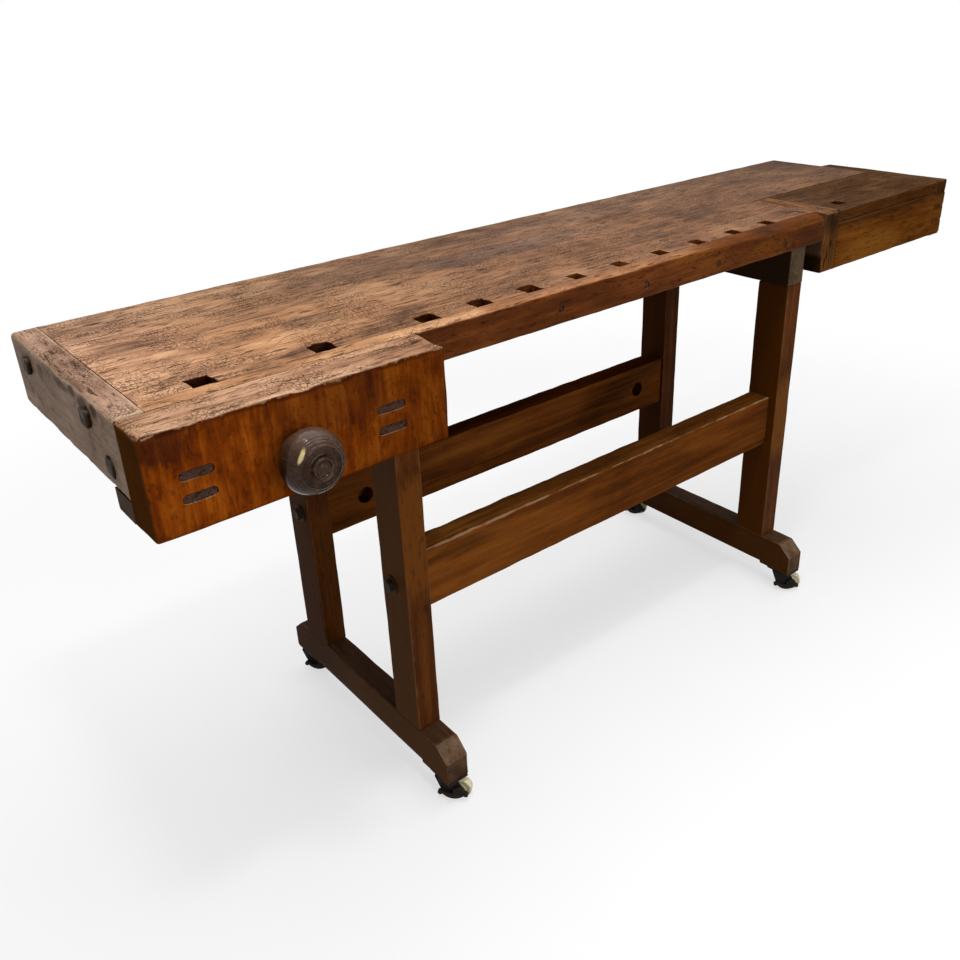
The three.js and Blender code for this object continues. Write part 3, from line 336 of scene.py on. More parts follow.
frameLook = {
    "grain": "z", "dark": (0.021, 0.0075, 0.003), "mid": (0.07, 0.0195, 0.004),
    "light": (0.14, 0.043, 0.008), "patch": 8.0, "patchStretch": 0.35, "streak": 65.0,
    "streakStretch": 0.05, "fibre": 0.3, "fleck": 0.35, "wear": 0.3, "worn": (0.22, 0.13, 0.07),
    "rough": 0.42,
}
legLook = {
    **frameLook,
    # Painted light: lighter amber patches on the legs, lifting the shade that the jaw and top cast on them
    "stainAndLightSpots": (
        stainOrLightSpot((-0.566, -0.15, 0.51), (0.1, 0.1, 0.13), (0.19, 0.06, 0.009), 0.6),
        stainOrLightSpot((0.413, -0.15, 0.42), (0.1, 0.1, 0.1), (0.19, 0.065, 0.009), 0.6),
        stainOrLightSpot((-0.566, 0.17, 0.36), (0.1, 0.1, 0.08), (0.13, 0.042, 0.007), 0.5),
    ),
}
stretcherLook = {
    **frameLook, "grain": "x", "mid": (0.112, 0.032, 0.006), "light": (0.21, 0.066, 0.011),
    "fleck": 0.12, "fibre": 0.2, "wear": 0.6, "worn": (0.36, 0.22, 0.12), "seed": 3.0,
    "stainAndLightSpots": (stainOrLightSpot((-0.47, -0.132, 0.452), (0.15, 0.05, 0.035), (0.03, 0.011, 0.003), 0.5),),
}
stretcherTopLook = {
    **stretcherLook, "dark": (0.025, 0.01, 0.004), "mid": (0.1, 0.032, 0.0055),
    "light": (0.19, 0.068, 0.012), "fleck": 0.4,
    "drifts": (drift("y", 0.0, 0.1, (0.25, 0.16, 0.13), 0.0),),
}
footLook = {**frameLook, "grain": "y", "mid": (0.075, 0.038, 0.02), "light": (0.15, 0.085, 0.045),
            "worn": (0.24, 0.17, 0.11), "seed": 6.0}
footTopLook = {**footLook, "mid": (0.06, 0.028, 0.0135), "light": (0.11, 0.055, 0.028),
               "drifts": (drift("y", -0.19, -0.205, (2.4, 2.9, 3.4), 0.02),)}
bearerLook = {**frameLook, "grain": "y", "dark": (0.04, 0.026, 0.015), "mid": (0.11, 0.072, 0.04),
              "light": (0.16, 0.11, 0.066), "seed": 11.0}
tailLook = {
    "grain": "x", "dark": (0.03, 0.011, 0.003), "mid": (0.12, 0.037, 0.0055),
    "light": (0.22, 0.074, 0.011), "patch": 10.0, "streak": 80.0, "streakStretch": 0.08, "fibre": 0.3,
    "fleck": 0.45, "wear": 0.12, "worn": (0.16, 0.09, 0.045), "rough": 0.4, "seed": 8.0,
    "drifts": (drift("z", 0.8, 0.845, (0.5, 0.55, 0.9), 0.02),),
    "stainAndLightSpots": (stainOrLightSpot((0.64, -0.174, 0.76), (0.14, 0.05, 0.045), (0.24, 0.092, 0.013), 0.6),),
}
tailTopLook = {
    **plainTop, "dark": (0.025, 0.0115, 0.0055), "mid": (0.08, 0.039, 0.018), "light": (0.16, 0.082, 0.038),
    "crackle": 0.5, "contrast": 0.75, "fleck": 0.5, "seed": 12.0, "wear": 0.12, "worn": (0.2, 0.12, 0.07),
    "drifts": (drift("x", 0.68, 0.52, (1.3, 1.4, 1.6)),),
}
cheekLook = {**capSideLook, "grain": "x", "dark": (0.022, 0.011, 0.005), "mid": (0.07, 0.036, 0.015),
             "light": (0.12, 0.068, 0.03), "seed": 15.0, "stainAndLightSpots": ()}

# Painted shade for faces turned to the left end: its colour nearer to and farther from that end, and its
# darkening on the pieces at the back
leftShade = {"near": (0.086, 0.033, 0.008), "far": (0.06, 0.017, 0.001), "back": (0.5, 0.45, 0.4),
             "amount": 0.85}
tailJawShade = {"near": (0.08, 0.046, 0.026), "far": (0.08, 0.046, 0.026), "back": (1.0, 1.0, 1.0),
                "amount": 0.92, "below": 0.776, "unlit": (0.008, 0.004, 0.002)}
bearerShade = {"near": (0.03, 0.014, 0.007), "far": (0.022, 0.009, 0.004), "back": (0.7, 0.7, 0.7),
               "amount": 0.9}
matt, dull = {"specular": 0.0}, {"specular": 0.014}
cheekWood = woodFinish("fixed cheek", cheekLook, None, None, {"specular": 0.009})
topWood = woodFinish("worn bench top", boardLook, topLook, None, {"bump": 0.5})
boardWood = woodFinish("front board", boardLook, boardEdgeLook, None, {"bump": 0.5})
capWood = woodFinish("end cap", capSideLook, capTopLook, None, {"bump": 0.6})
jawWood = woodFinish("amber jaw", jawLook, jawTopLook, leftShade, {**matt, "bump": 0.3})
legWood = woodFinish("dark legs", legLook, None, leftShade, dull)
stretcherWood = woodFinish("amber stretchers", stretcherLook, stretcherTopLook, leftShade, matt)
footWood = woodFinish("dull feet", footLook, footTopLook, leftShade, dull)
bearerWood = woodFinish("dark bearers", bearerLook, None, bearerShade, matt)
tailWood = woodFinish("tail vise", tailLook, tailTopLook, leftShade, {**matt, "bump": 0.4})
tailCrossWood = woodFinish(
    "tail vise cross grain", {**tailLook, "grain": "z", "mid": (0.09, 0.033, 0.0065), "fleck": 0.8},
    {**tailTopLook, "grain": "y"}, leftShade, {**matt, "bump": 0.5})
tailJawWood = woodFinish(
    "tail vise jaw", {**tailLook, "grain": "z", "mid": (0.085, 0.035, 0.01), "fleck": 0.9, "stainAndLightSpots": ()},
    {**topLook, "grain": "y", "wear": 0.1, "stainAndLightSpots": ()}, tailJawShade, {**matt, "bump": 0.5})

# Turned hubs: dark, polished and ringed by the tool, with one pale chip and a painted sheen lightening the
# upper half
hubLook = {
    "grain": "y", "dark": (0.009, 0.004, 0.002), "mid": (0.036, 0.0145, 0.006),
    "light": (0.095, 0.041, 0.02), "patch": 30.0, "streak": 220.0, "streakStretch": 0.3,
    "fibre": 0.2, "fleck": 0.15, "wear": 0.0, "rough": 0.15,
    # Painted sheen: the upper half of the hub is painted lighter
    "drifts": (drift("z", 0.79, 0.825, (0.13, 0.075, 0.055), 0.02, 0.35, "MIX"),),
}
hubGloss = {"specular": 0.14, "bump": 0.04}
hubChip = stainOrLightSpot((-0.8133, -0.301, 0.8026), (0.0027, 0.012, 0.0125), (0.62, 0.48, 0.24), 0.95, -0.6, 0.35)
frontHubWood = woodFinish("polished front hub", {**hubLook, "stainAndLightSpots": (hubChip,)}, None, None, hubGloss)
tailHubWood = woodFinish("polished tail hub", {**hubLook, "grain": "x"}, None, None, hubGloss)
screwWood = woodFinish("turned screw", {**frameLook, "grain": "y", "mid": (0.12, 0.06, 0.03),
                                        "light": (0.24, 0.13, 0.07), "rough": 0.45})
tenonWood = woodFinish("tenon end grain", {
    **frameLook, "grain": "y", "dark": (0.018, 0.009, 0.006), "mid": (0.058, 0.03, 0.02),
    "light": (0.11, 0.06, 0.04), "streak": 260.0, "streakStretch": 0.5, "fleck": 0.8, "seed": 13.0,
})
print("wood finishes mixed")


def ironFinish(name, look):
    material, sheet = startFinish(name)
    place, wear = sheet.place(), sheet.marked("wear")
    blotch = place.scaled((look["scale"],) * 3).cloud(5.0, 0.65, 0.5)
    pits = place.scaled((look["pits"],) * 3).cloud(2.0, 0.6)
    rust = (blotch + (pits - 0.5) * 0.4).remap(0.42, 0.66) * look["rust"]
    colour = rust.blend(tone(look["black"]), tone(look["rustColour"]))
    shine = (wear + (blotch - 0.5) * 0.8).remap(0.5, 0.9) * look["polish"]
    return paint(material, sheet, {
        "Base Color": shine.blend(colour, tone(look["bare"])), "Metallic": 0.1 - rust * 0.1,
        "Specular IOR Level": 0.03, "Roughness": 0.42 + rust * 0.4 - shine * 0.12 + (pits - 0.5) * 0.2,
    }, 0.4, 0.0006, pits - rust * 0.4)


ironLook = {"scale": 90.0, "pits": 900.0, "rust": 0.6, "black": (0.026, 0.015, 0.009),
            "rustColour": (0.045, 0.021, 0.01), "bare": (0.2, 0.15, 0.11), "polish": 0.3}
darkIron = ironFinish("oxidised iron", ironLook)
casterIron = ironFinish("black caster iron", {**ironLook, "rust": 0.3, "black": (0.02, 0.018, 0.017),
                                              "polish": 0.5})


def creamFinish(name, look):
    material, sheet = startFinish(name)
    place = sheet.place()
    grime = place.scaled((look["patch"],) * 3).cloud(4.0, 0.6).remap(0.42, 0.7) * look["grime"]
    scuffs = place.scaled((look["scuff"],) * 3).cloud(2.0, 0.5)
    return paint(material, sheet, {
        "Base Color": grime.blend(tone(look["cream"]), tone(look["shadeAndDirt"])),
        "Roughness": 0.45 + grime * 0.3 + (scuffs - 0.5) * 0.15,
    }, 0.2, 0.0004, scuffs)


creamWheel = creamFinish("aged cream wheel", {"cream": (0.72, 0.64, 0.42), "shadeAndDirt": (0.3, 0.22, 0.12),
                                              "patch": 120.0, "scuff": 700.0, "grime": 0.6})
print("metal and wheel finishes mixed")


# Shapes
def middleOf(node):
    low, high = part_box(node)
    return (low + high) / 2


def addObject(name, bm):
    bmesh.ops.recalc_face_normals(bm, faces=bm.faces)
    mesh = bpy.data.meshes.new(name)
    bm.to_mesh(mesh)
    bm.free()
    made = bpy.data.objects.new(name, mesh)
    scene.collection.objects.link(made)
    return made


def settle(made):  # modifiers become the mesh itself
    graph = bpy.context.evaluated_depsgraph_get()
    fresh = bpy.data.meshes.new_from_object(made.evaluated_get(graph))
    old = made.data
    made.modifiers.clear()
    made.data = fresh
    bpy.data.meshes.remove(old)


def carve(made, cutter, how="DIFFERENCE"):
    cutting = made.modifiers.new("carve", "BOOLEAN")
    cutting.operation = how
    cutting.solver = "EXACT"
    cutting.object = cutter
    bpy.context.view_layer.update()
    settle(made)
    spent = cutter.data
    bpy.data.objects.remove(cutter)
    bpy.data.meshes.remove(spent)


def easeEdges(made, width, angle=40.0):  # small bevel along every sharp edge
    eased = made.modifiers.new("eased arris", "BEVEL")
    eased.width = width * mm
    eased.segments = 2
    eased.limit_method = "ANGLE"
    eased.angle_limit = math.radians(angle)


def gridLines(low, high, step, roundLow, roundHigh):
    span = high - low
    share = (0.0, 0.1, 0.28, 0.5, 0.75, 1.0, 1.5)
    near = [k * roundLow for k in share if k * roundLow < span * 0.4]
    far = [k * roundHigh for k in share if k * roundHigh < span * 0.4]
    inner = span - near[-1] - far[-1]
    count = max(1, round(inner / step))
    middle = [low + near[-1] + inner * i / count for i in range(1, count)]
    return [low + d for d in near] + middle + [high - d for d in reversed(far)]


# Block of old timber: rounded and chipped arrises, faces that are no longer quite flat
blockDefaults = {"step": 14.0, "round": 2.5, "rounds": {}, "vary": 0.5, "chip": 0.0, "chipScale": 45.0,
                 "chipEdges": (), "sway": 0.25, "swayScale": 7.0, "adjust": None}


def edgeName(a, signA, b, signB):
    if a > b:
        a, signA, b, signB = b, signB, a, signA
    return axisNames[a] + "-+"[signA] + axisNames[b] + "-+"[signB]


def wornBlock(bm, low, high, settings):
    look = {**blockDefaults, **settings}
    low, high = Vector(low), Vector(high)

    def radius(a, signA, b, signB):  # sizes of this edge's rounding along a and along b
        size = look["rounds"].get(edgeName(a, signA, b, signB), look["round"])
        first, second = size if isinstance(size, tuple) else (size, size)
        return (first * mm, second * mm) if a < b else (second * mm, first * mm)

    def largest(axis, sign):
        others = [b for b in range(3) if b != axis]
        return max(radius(axis, sign, b, t)[0] for b in others for t in (0, 1))

    step = look["step"] * mm
    lines = [gridLines(low[a], high[a], step, largest(a, 0), largest(a, 1)) for a in range(3)]
    made = {}

    def vertex(index):
        if index in made:
            return made[index]
        p = Vector([lines[a][index[a]] for a in range(3)])
        gaps = [min(p[a] - low[a], high[a] - p[a]) for a in range(3)]
        sign = [0 if p[a] - low[a] < high[a] - p[a] else 1 for a in range(3)]
        i, j, k = sorted(range(3), key=lambda a: gaps[a])
        r = [0.0, 0.0, 0.0]
        r[i], r[j] = radius(i, sign[i], j, sign[j])
        r[k] = radius(i, sign[i], k, sign[k])[1]
        drift = 1.0 + look["vary"] * noise.noise(p * 23.0 + Vector((3.0, 1.0, 7.0)))
        r = [min(max(v * drift, 0.0002), (high[a] - low[a]) * 0.45) for a, v in enumerate(r)]
        core = Vector([min(max(p[a], low[a] + r[a]), high[a] - r[a]) for a in range(3)])
        out = Vector([(p[a] - core[a]) / r[a] for a in range(3)])
        if out.length > 1e-9:
            out.normalize()
        spread = sorted(abs(v) for v in out)[1]
        p = core + Vector([r[a] * out[a] for a in range(3)])
        edge = edgeName(i, sign[i], j, sign[j])
        if look["chip"] and (not look["chipEdges"] or edge in look["chipEdges"]):
            rag = noise.noise(p * look["chipScale"]) + 0.6 * noise.noise(p * look["chipScale"] * 2.7)
            p -= out * (look["chip"] * mm * max(0.0, rag - 0.12) * min(1.0, spread * 1.6))
        sway = noise.noise(p * look["swayScale"]) + 0.4 * noise.noise(p * look["swayScale"] * 4.0)
        p += out * (look["sway"] * mm * sway)
        if look["adjust"]:
            look["adjust"](p)
        made[index] = bm.verts.new(p)
        return made[index]

    count = [len(line) for line in lines]
    for a in range(3):
        b, c = (a + 1) % 3, (a + 2) % 3
        for at in (0, count[a] - 1):
            for u in range(count[b] - 1):
                for v in range(count[c] - 1):
                    corners = []
                    for du, dv in ((0, 0), (1, 0), (1, 1), (0, 1)):
                        index = [0, 0, 0]
                        index[a], index[b], index[c] = at, u + du, v + dv
                        corners.append(vertex(tuple(index)))
                    bm.faces.new(corners)
    return bm


def joinRings(bm, rings):  # closed skin over a row of equal rings
    count = len(rings[0])
    bm.faces.new(rings[0])
    bm.faces.new(rings[-1])
    for one, two in zip(rings, rings[1:]):
        for i in range(count):
            k = (i + 1) % count
            bm.faces.new((one[i], one[k], two[k], two[i]))


def prismInto(bm, outline, axis, low, high):  # outline in the two axes that follow the given one
    a = axisNames.index(axis)
    b, c = (a + 1) % 3, (a + 2) % 3

    def ring(at):
        points = []
        for u, v in outline:
            p = [0.0, 0.0, 0.0]
            p[a], p[b], p[c] = at, u, v
            points.append(bm.verts.new(p))
        return points

    joinRings(bm, [ring(low), ring(high)])


def roundOutline(u, v, radius, count=24, turn=0.0):
    angles = [turn + 2.0 * math.pi * i / count for i in range(count)]
    return [(u + radius * math.cos(t), v + radius * math.sin(t)) for t in angles]


def boxOutline(u0, u1, v0, v1):
    return [(u0, v0), (u1, v0), (u1, v1), (u0, v1)]


def lathe(bm, profile, origin, along, count=64):  # profile holds radius and distance along the axis, in mm
    along = Vector(along).normalized()
    side = along.orthogonal().normalized()
    other = along.cross(side)
    rings = []
    for r, t in profile:
        centre = Vector(origin) + along * (t * mm)
        if r < 1e-6:
            rings.append([bm.verts.new(centre)])
            continue
        turns = [2.0 * math.pi * i / count for i in range(count)]
        spokes = [side * math.cos(q) + other * math.sin(q) for q in turns]
        rings.append([bm.verts.new(centre + spoke * (r * mm)) for spoke in spokes])
    for one, two in zip(rings, rings[1:]):
        for i in range(count):
            k = (i + 1) % count
            if len(one) == 1 and len(two) == 1:
                continue
            if len(one) == 1:
                bm.faces.new((one[0], two[k], two[i]))
            elif len(two) == 1:
                bm.faces.new((one[i], one[k], two[0]))
            else:
                bm.faces.new((one[i], one[k], two[k], two[i]))


# How much each arris is rubbed, by the faces that meet there
rubbing = {"z+": 1.0, "y-": 0.9, "x-": 0.75, "x+": 0.6, "y+": 0.5, "z-": 0.35}


def markWear(made, low, high, reach, rubbed=None):
    share = {**rubbing, **(rubbed or {})}
    values = []
    for vertex in made.data.vertices:
        p = vertex.co
        near = []
        for a in range(3):
            down, up = p[a] - low[a], high[a] - p[a]
            near.append((min(down, up), axisNames[a] + ("-" if down < up else "+")))
        near.sort()
        amount = max(0.0, 1.0 - near[1][0] / (reach * mm))
        values.append(amount * min(share[near[0][1]], share[near[1][1]]) ** 0.5)
    made.data.attributes.new("wear", "FLOAT", "POINT").data.foreach_set("value", values)


def markPaintedShade(made, corners):  # painted shade lies wherever a vertex falls in one of these boxes
    values = []
    for vertex in made.data.vertices:
        p = vertex.co
        inside = [amount for low, high, amount in corners
                  if all(low[a] <= p[a] <= high[a] for a in range(3))]
        values.append(max(inside, default=0.0))
    made.data.attributes.new("grime", "FLOAT", "POINT").data.foreach_set("value", values)


def dress(made, material, body, nodes=(), smooth=40.0, reach=None, rubbed=None):
    made.data.materials.clear()
    made.data.materials.append(material)
    made.data.shade_smooth()
    made.data.set_sharp_from_angle(angle=math.radians(smooth))
    if reach:
        corners = [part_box(node) for node in nodes]
        low = Vector([min(c[0][a] for c in corners) for a in range(3)])
        high = Vector([max(c[1][a] for c in corners) for a in range(3)])
        markWear(made, low, high, reach, rubbed)
    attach(made, body)
    if nodes:
        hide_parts(*nodes)
    return made


def timber(node, material, body, look, cutters=(), span=None, shadeAndDirt=()):
    low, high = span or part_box(node)
    made = addObject(node + "_worn", wornBlock(bmesh.new(), low, high, look))
    for cutter in cutters:
        carve(made, cutter)
    if shadeAndDirt:
        markPaintedShade(made, shadeAndDirt)
    reach, rubbed = look.get("reach", 9.0), look.get("rubbed")
    return dress(made, material, body, (node,), reach=reach, rubbed=rubbed)


def cutterOf(*prisms):
    bm = bmesh.new()
    for outline, axis, low, high in prisms:
        prismInto(bm, outline, axis, low, high)
    return addObject("cutter", bm)


# Bench top
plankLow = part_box("dog_plank")[0]
slabLow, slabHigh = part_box("top_slab")
boardLow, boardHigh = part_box("front_board")
capLow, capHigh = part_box("end_cap")
plateLow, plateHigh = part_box("tail_plate")
benchLeft = capLow.x
topZ = slabHigh.z
dogRow = {"first": 130.0, "wide": 179.0, "wideCount": 2, "pitch": 102.0, "count": 9, "side": 31.0,
          "wornMouth": 5.0, "sharpFrom": 5, "sharpSide": 26.0, "sharpMouth": 1.0, "flare": 14.0,
          "levels": (20.0, 14.0, 9.0, 5.0, 2.0), "shadeAndDirt": (0.75, 0.55, 0.35), "darkestWells": 3, "spread": 9.0}
dogCentres = [benchLeft + (dogRow["first"] + i * dogRow["wide"]) * mm for i in range(dogRow["wideCount"])]
closeStart = dogRow["first"] + dogRow["wideCount"] * dogRow["wide"]
dogCentres += [benchLeft + (closeStart + i * dogRow["pitch"]) * mm for i in range(dogRow["count"])]


def wellShade(centres, top, front):  # painted shade on the well walls, darkest in the wells at the front vise
    half = (dogRow["side"] / 2 + dogRow["spread"]) * mm
    middle = front + dogRow["side"] * mm / 2
    most, some, least = dogRow["shadeAndDirt"]
    boxes = []
    for i, x in enumerate(centres):
        amount = most if i < dogRow["darkestWells"] else some if i < dogRow["sharpFrom"] else least
        low = (x - half, middle - half, top - 0.2)
        boxes.append((low, (x + half, middle + half, top - 1.6 * mm), amount))
    return boxes


def dogCutter(centres, top, bottom, front, past=0.0, first=0):  # square wells, their mouths frayed by use
    bm = bmesh.new()
    levels = [bottom - overrun / 2] + [top - d * mm for d in dogRow["levels"]] + [top + 6.0 * mm]
    count = 7
    for k, x in enumerate(centres, first):  # the wells past the fifth are hardly worn
        sharp = k >= dogRow["sharpFrom"]
        half = dogRow["sharpSide" if sharp else "side"] * mm / 2
        mouth = dogRow["sharpMouth" if sharp else "wornMouth"] * mm
        rings = []
        for z in levels:
            flare = max(0.0, 1.0 - max(0.0, top - z) / (dogRow["flare"] * mm)) ** 2
            ring = []
            for corner in range(4):
                for i in range(count):
                    s = -1.0 + 2.0 * i / count
                    u, v = ((s, -1.0), (1.0, s), (-s, 1.0), (-1.0, -s))[corner]
                    p = Vector((x + u * half, front + half + v * half, z))
                    rag = 0.5 + noise.noise(p * 70.0) + 0.5 * noise.noise(p * 190.0)
                    grow = mouth * flare * max(0.0, rag) + 0.0004 * noise.noise(p * 120.0)
                    p += Vector((u, v, 0.0)).normalized() * grow
                    if v < 0.0:
                        p.y += past * v
                    ring.append(bm.verts.new(p))
            rings.append(ring)
        joinRings(bm, rings)
    return addObject("cutter", bm)


plugX = benchLeft + 1409.0 * mm
plugHalf = 16.0 * mm
plugGap = 0.8 * mm
plugDepth = 4.0 * mm
plugFront = plankLow.y + 1.0 * mm
plugRecess = (boxOutline(plugX - plugHalf, plugX + plugHalf, plugFront, plugFront + 2 * plugHalf),
              "z", topZ - plugDepth, topZ + overrun / 2)
slabLook = {"step": 16.0, "round": 1.0, "rounds": {"y+z+": (5.0, 4.0), "x+z+": 4.0, "x+y+": 4.0},
            "sway": 0.35, "chip": 2.0, "chipEdges": ("y+z+", "x+z+"), "reach": 8.0,
            "rubbed": {"y-": 0.02, "x-": 0.02}}
notch = cutterOf((boxOutline(plateLow.x - 50.0 * mm, slabHigh.x + 0.1, slabLow.y - 0.1, plateHigh.y + fit),
                  "z", slabLow.z - 0.1, slabHigh.z + 0.1))
# Painted shade in the seam where the end cap meets the top
capSeam = [(Vector((capHigh.x - 0.6 * mm, capLow.y - beyond, slabLow.z)),
            Vector((capHigh.x + 0.9 * mm, capHigh.y + beyond, topZ + beyond)), 0.9)]
timber("top_slab", topWood, "bench", slabLook, (notch,),
       (Vector((capHigh.x + fit, slabLow.y, slabLow.z)), slabHigh), capSeam)
plankLook = {"step": 12.0, "round": 1.0, "sway": 0.35, "reach": 5.0,
             "rubbed": {"y+": 0.02, "y-": 0.02, "x-": 0.02, "x+": 0.1}}
timber("dog_plank", topWood, "bench", plankLook,
       (dogCutter(dogCentres, topZ, plankLow.z, plankLow.y, 4.0 * mm), cutterOf(plugRecess)), None,
       capSeam + wellShade(dogCentres, topZ, plankLow.y))
bevel = {"from": 1060.0, "fade": 180.0, "drop": 9.0, "reach": 34.0}


def planeBevel(p):  # the right end of the board was planed to a slope
    share = min(1.0, max(0.0, (p.x - benchLeft) / mm - bevel["from"]) / bevel["fade"])
    forward = min(1.0, max(0.0, (boardHigh.y - p.y) / (boardHigh.y - boardLow.y)))
    near = max(0.0, 1.0 - (topZ - p.z) / (bevel["reach"] * mm))
    p.z -= share * forward * near * bevel["drop"] * mm


boardSettings = {
    "step": 11.0, "round": 2.0, "adjust": planeBevel, "vary": 0.5, "sway": 0.4, "reach": 9.0, "chip": 3.0,
    "chipScale": 26.0, "rubbed": {"y+": 0.02, "y-": 0.3, "z-": 0.1, "x+": 0.5},
    "rounds": {"y-z+": (10.0, 6.0), "y-z-": 4.0, "x+z+": 3.0, "x+y-": (5.0, 4.0),
               "y+z+": 0.8, "y+z-": 0.8},
    "chipEdges": ("y-z+", "y-z-", "x+y-"),
}
pegs = {"x": (723.0, 923.5, 1115.0, 1316.0), "z": (832.0, 829.0, 828.5, 825.6), "radius": 5.5, "gap": 0.7,
        "depth": 3.0, "sunk": 1.2}
pegSpots = [(benchLeft + x * mm, z * mm) for x, z in zip(pegs["x"], pegs["z"])]
pegHole = (pegs["radius"] + pegs["gap"]) * mm
drilled = ("y", boardLow.y - overrun / 2, boardLow.y + pegs["depth"] * mm)
pegHoles = cutterOf(*[(roundOutline(z, x, pegHole), *drilled) for x, z in pegSpots])
jawLow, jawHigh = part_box("front_jaw")
# Painted shade on the board's face behind the jaw, up to just below the top
jawSeam = [(Vector((benchLeft - beyond, boardLow.y - beyond, boardLow.z)),
            Vector((jawHigh.x, boardLow.y + 12.0 * mm, topZ - 2.2 * mm)), 1.0)]
timber("front_board", boardWood, "bench", boardSettings,
       (dogCutter(dogCentres, topZ, plankLow.z, plankLow.y + 0.8 * mm), pegHoles), None,
       jawSeam + wellShade(dogCentres, topZ, plankLow.y))
pegMesh = bmesh.new()
r = pegs["radius"]
pegProfile = [(0, -6), (r, -6), (r, -0.6), (r - 0.8, 0.2), (r * 0.5, 0.5), (0, 0.4)]
for x, z in pegSpots:
    lathe(pegMesh, pegProfile, (x, boardLow.y + pegs["sunk"] * mm, z), (0, -1, 0), 20)
dress(addObject("board_pegs", pegMesh), tenonWood, "bench")
plugMesh = wornBlock(bmesh.new(), (plugX - plugHalf + plugGap, plugFront + plugGap, topZ - plugDepth),
                     (plugX + plugHalf - plugGap, plugFront + 2 * plugHalf - plugGap, topZ - 0.6 * mm),
                     {"step": 8.0, "round": 0.8, "sway": 0.3})
dress(addObject("filled_dog_hole", plugMesh), topWood, "bench")
capLook = {
    "step": 9.0, "round": 1.5, "vary": 0.7, "sway": 0.6, "swayScale": 16.0, "reach": 12.0, "chip": 4.5,
    "chipScale": 38.0, "chipEdges": ("x-z+", "x-z-", "x-y+", "y+z+"),
    "rounds": {"x-z+": 7.0, "x-z-": 5.0, "x-y+": 5.0, "y+z+": 5.0, "x+z+": 0.8},
}
sunkBolt = middleOf("end_cap_bolt_low")
sinkRadius, sinkDepth = 16.5 * mm, 6.0 * mm
sink = (roundOutline(sunkBolt.y, sunkBolt.z, sinkRadius, 18),
        "x", capLow.x - overrun / 2, capLow.x + sinkDepth)
timber("end_cap", capWood, "bench", capLook, (cutterOf(sink),), None, capSeam)
print("bench top laid")

# End-cap bolts: forged square heads, softened by handling
capBolt = {"depth": 7.7 * mm, "swell": 2.5 * mm, "shank": 5.0 * mm}
for name in ("1", "2", "low"):
    node = f"end_cap_bolt_{name}"
    low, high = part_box(node)
    headBack = low.x + capBolt["depth"]
    swell = Vector((0.0, capBolt["swell"], capBolt["swell"]))
    mesh = wornBlock(bmesh.new(), low - swell, Vector((headBack, high.y, high.z)) + swell,
                     {"step": 3.0, "round": 4.0, "vary": 0.4, "sway": 0.5, "swayScale": 90.0})
    middle = middleOf(node)
    prismInto(mesh, roundOutline(middle.y, middle.z, capBolt["shank"], 16), "x", headBack - mm, high.x)
    dress(addObject(node + "_forged", mesh), darkIron, "bench", (node,), 40.0, 8.0)

# Front vise
guideBoxes = [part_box(f"front_guide_{side}") for side in sides]
hubLow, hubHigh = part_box("front_hub")
screwX = (hubLow.x + hubHigh.x) / 2
screwZ = hubHigh.z - (hubHigh.x - hubLow.x) / 2  # the bar socket opens the underside
boreRadius = 21.8 * mm
jawSettings = {
    "step": 8.0, "round": 2.0, "vary": 0.7, "sway": 0.5, "swayScale": 10.0, "reach": 13.0, "chip": 6.0,
    "chipScale": 34.0, "rubbed": {"x-": 0.02, "x+": 0.25, "z-": 0.05, "y-": 0.6},
    "rounds": {"y-z+": (9.0, 8.0), "y-z-": 5.0, "x-y-": 5.0, "x+y-": 6.0,
               "x-z+": 7.0, "x+z+": (10.0, 8.0), "x-z-": 4.0, "y+z+": 2.0},
    "chipEdges": ("y-z+", "x-z+", "x+z+", "x-y-"),
}
tenon = {"height": 12.0, "rise": 15.5, "lift": 2.5, "slack": 1.2, "sink": 1.2, "nose": 0.8,
         "noseShorter": 1.6, "noseLower": 1.4}


def stadiumOutline(x, z, length, height, count=8):
    reach, r = (length - height) / 2, height / 2
    turns = [math.pi * i / count for i in range(count + 1)]
    right = [(z + r * math.cos(q), x + reach + r * math.sin(q)) for q in turns]
    left = [(z - r * math.cos(q), x - reach - r * math.sin(q)) for q in turns]
    return right + left


def garterCut(node):  # slot for the key, open below
    low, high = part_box(node)
    outline = boxOutline(low.y - fit, high.y + fit, low.z - 0.03, high.z + fit)
    return cutterOf((outline, "x", low.x - fit, high.x + fit))


tenonSpots = []
for low, high in guideBoxes:
    x, z = (low.x + high.x) / 2, (low.z + high.z) / 2
    tenonSpots += [(x, z + (tenon["lift"] + s * tenon["rise"]) * mm, high.x - low.x - mm) for s in (-1, 1)]
slotHeight = (tenon["height"] + tenon["slack"]) * mm
through = ("y", jawLow.y - overrun, jawHigh.y + overrun)
slots = cutterOf(*[(stadiumOutline(x, z, w + tenon["slack"] * mm, slotHeight), *through)
                   for x, z, w in tenonSpots])
bore = cutterOf((roundOutline(screwZ, screwX, boreRadius, 40), *through))
# Painted shade on the back of the jaw, where it meets the board
jawBack = [(Vector((jawLow.x - beyond, jawHigh.y - 1.1 * mm, jawLow.z)),
            Vector((jawHigh.x + beyond, jawHigh.y + beyond, topZ + beyond)), 1.0)]
timber("front_jaw", jawWood, "front_jaw", jawSettings,
       (slots, bore, garterCut("front_garter")), None, jawBack)

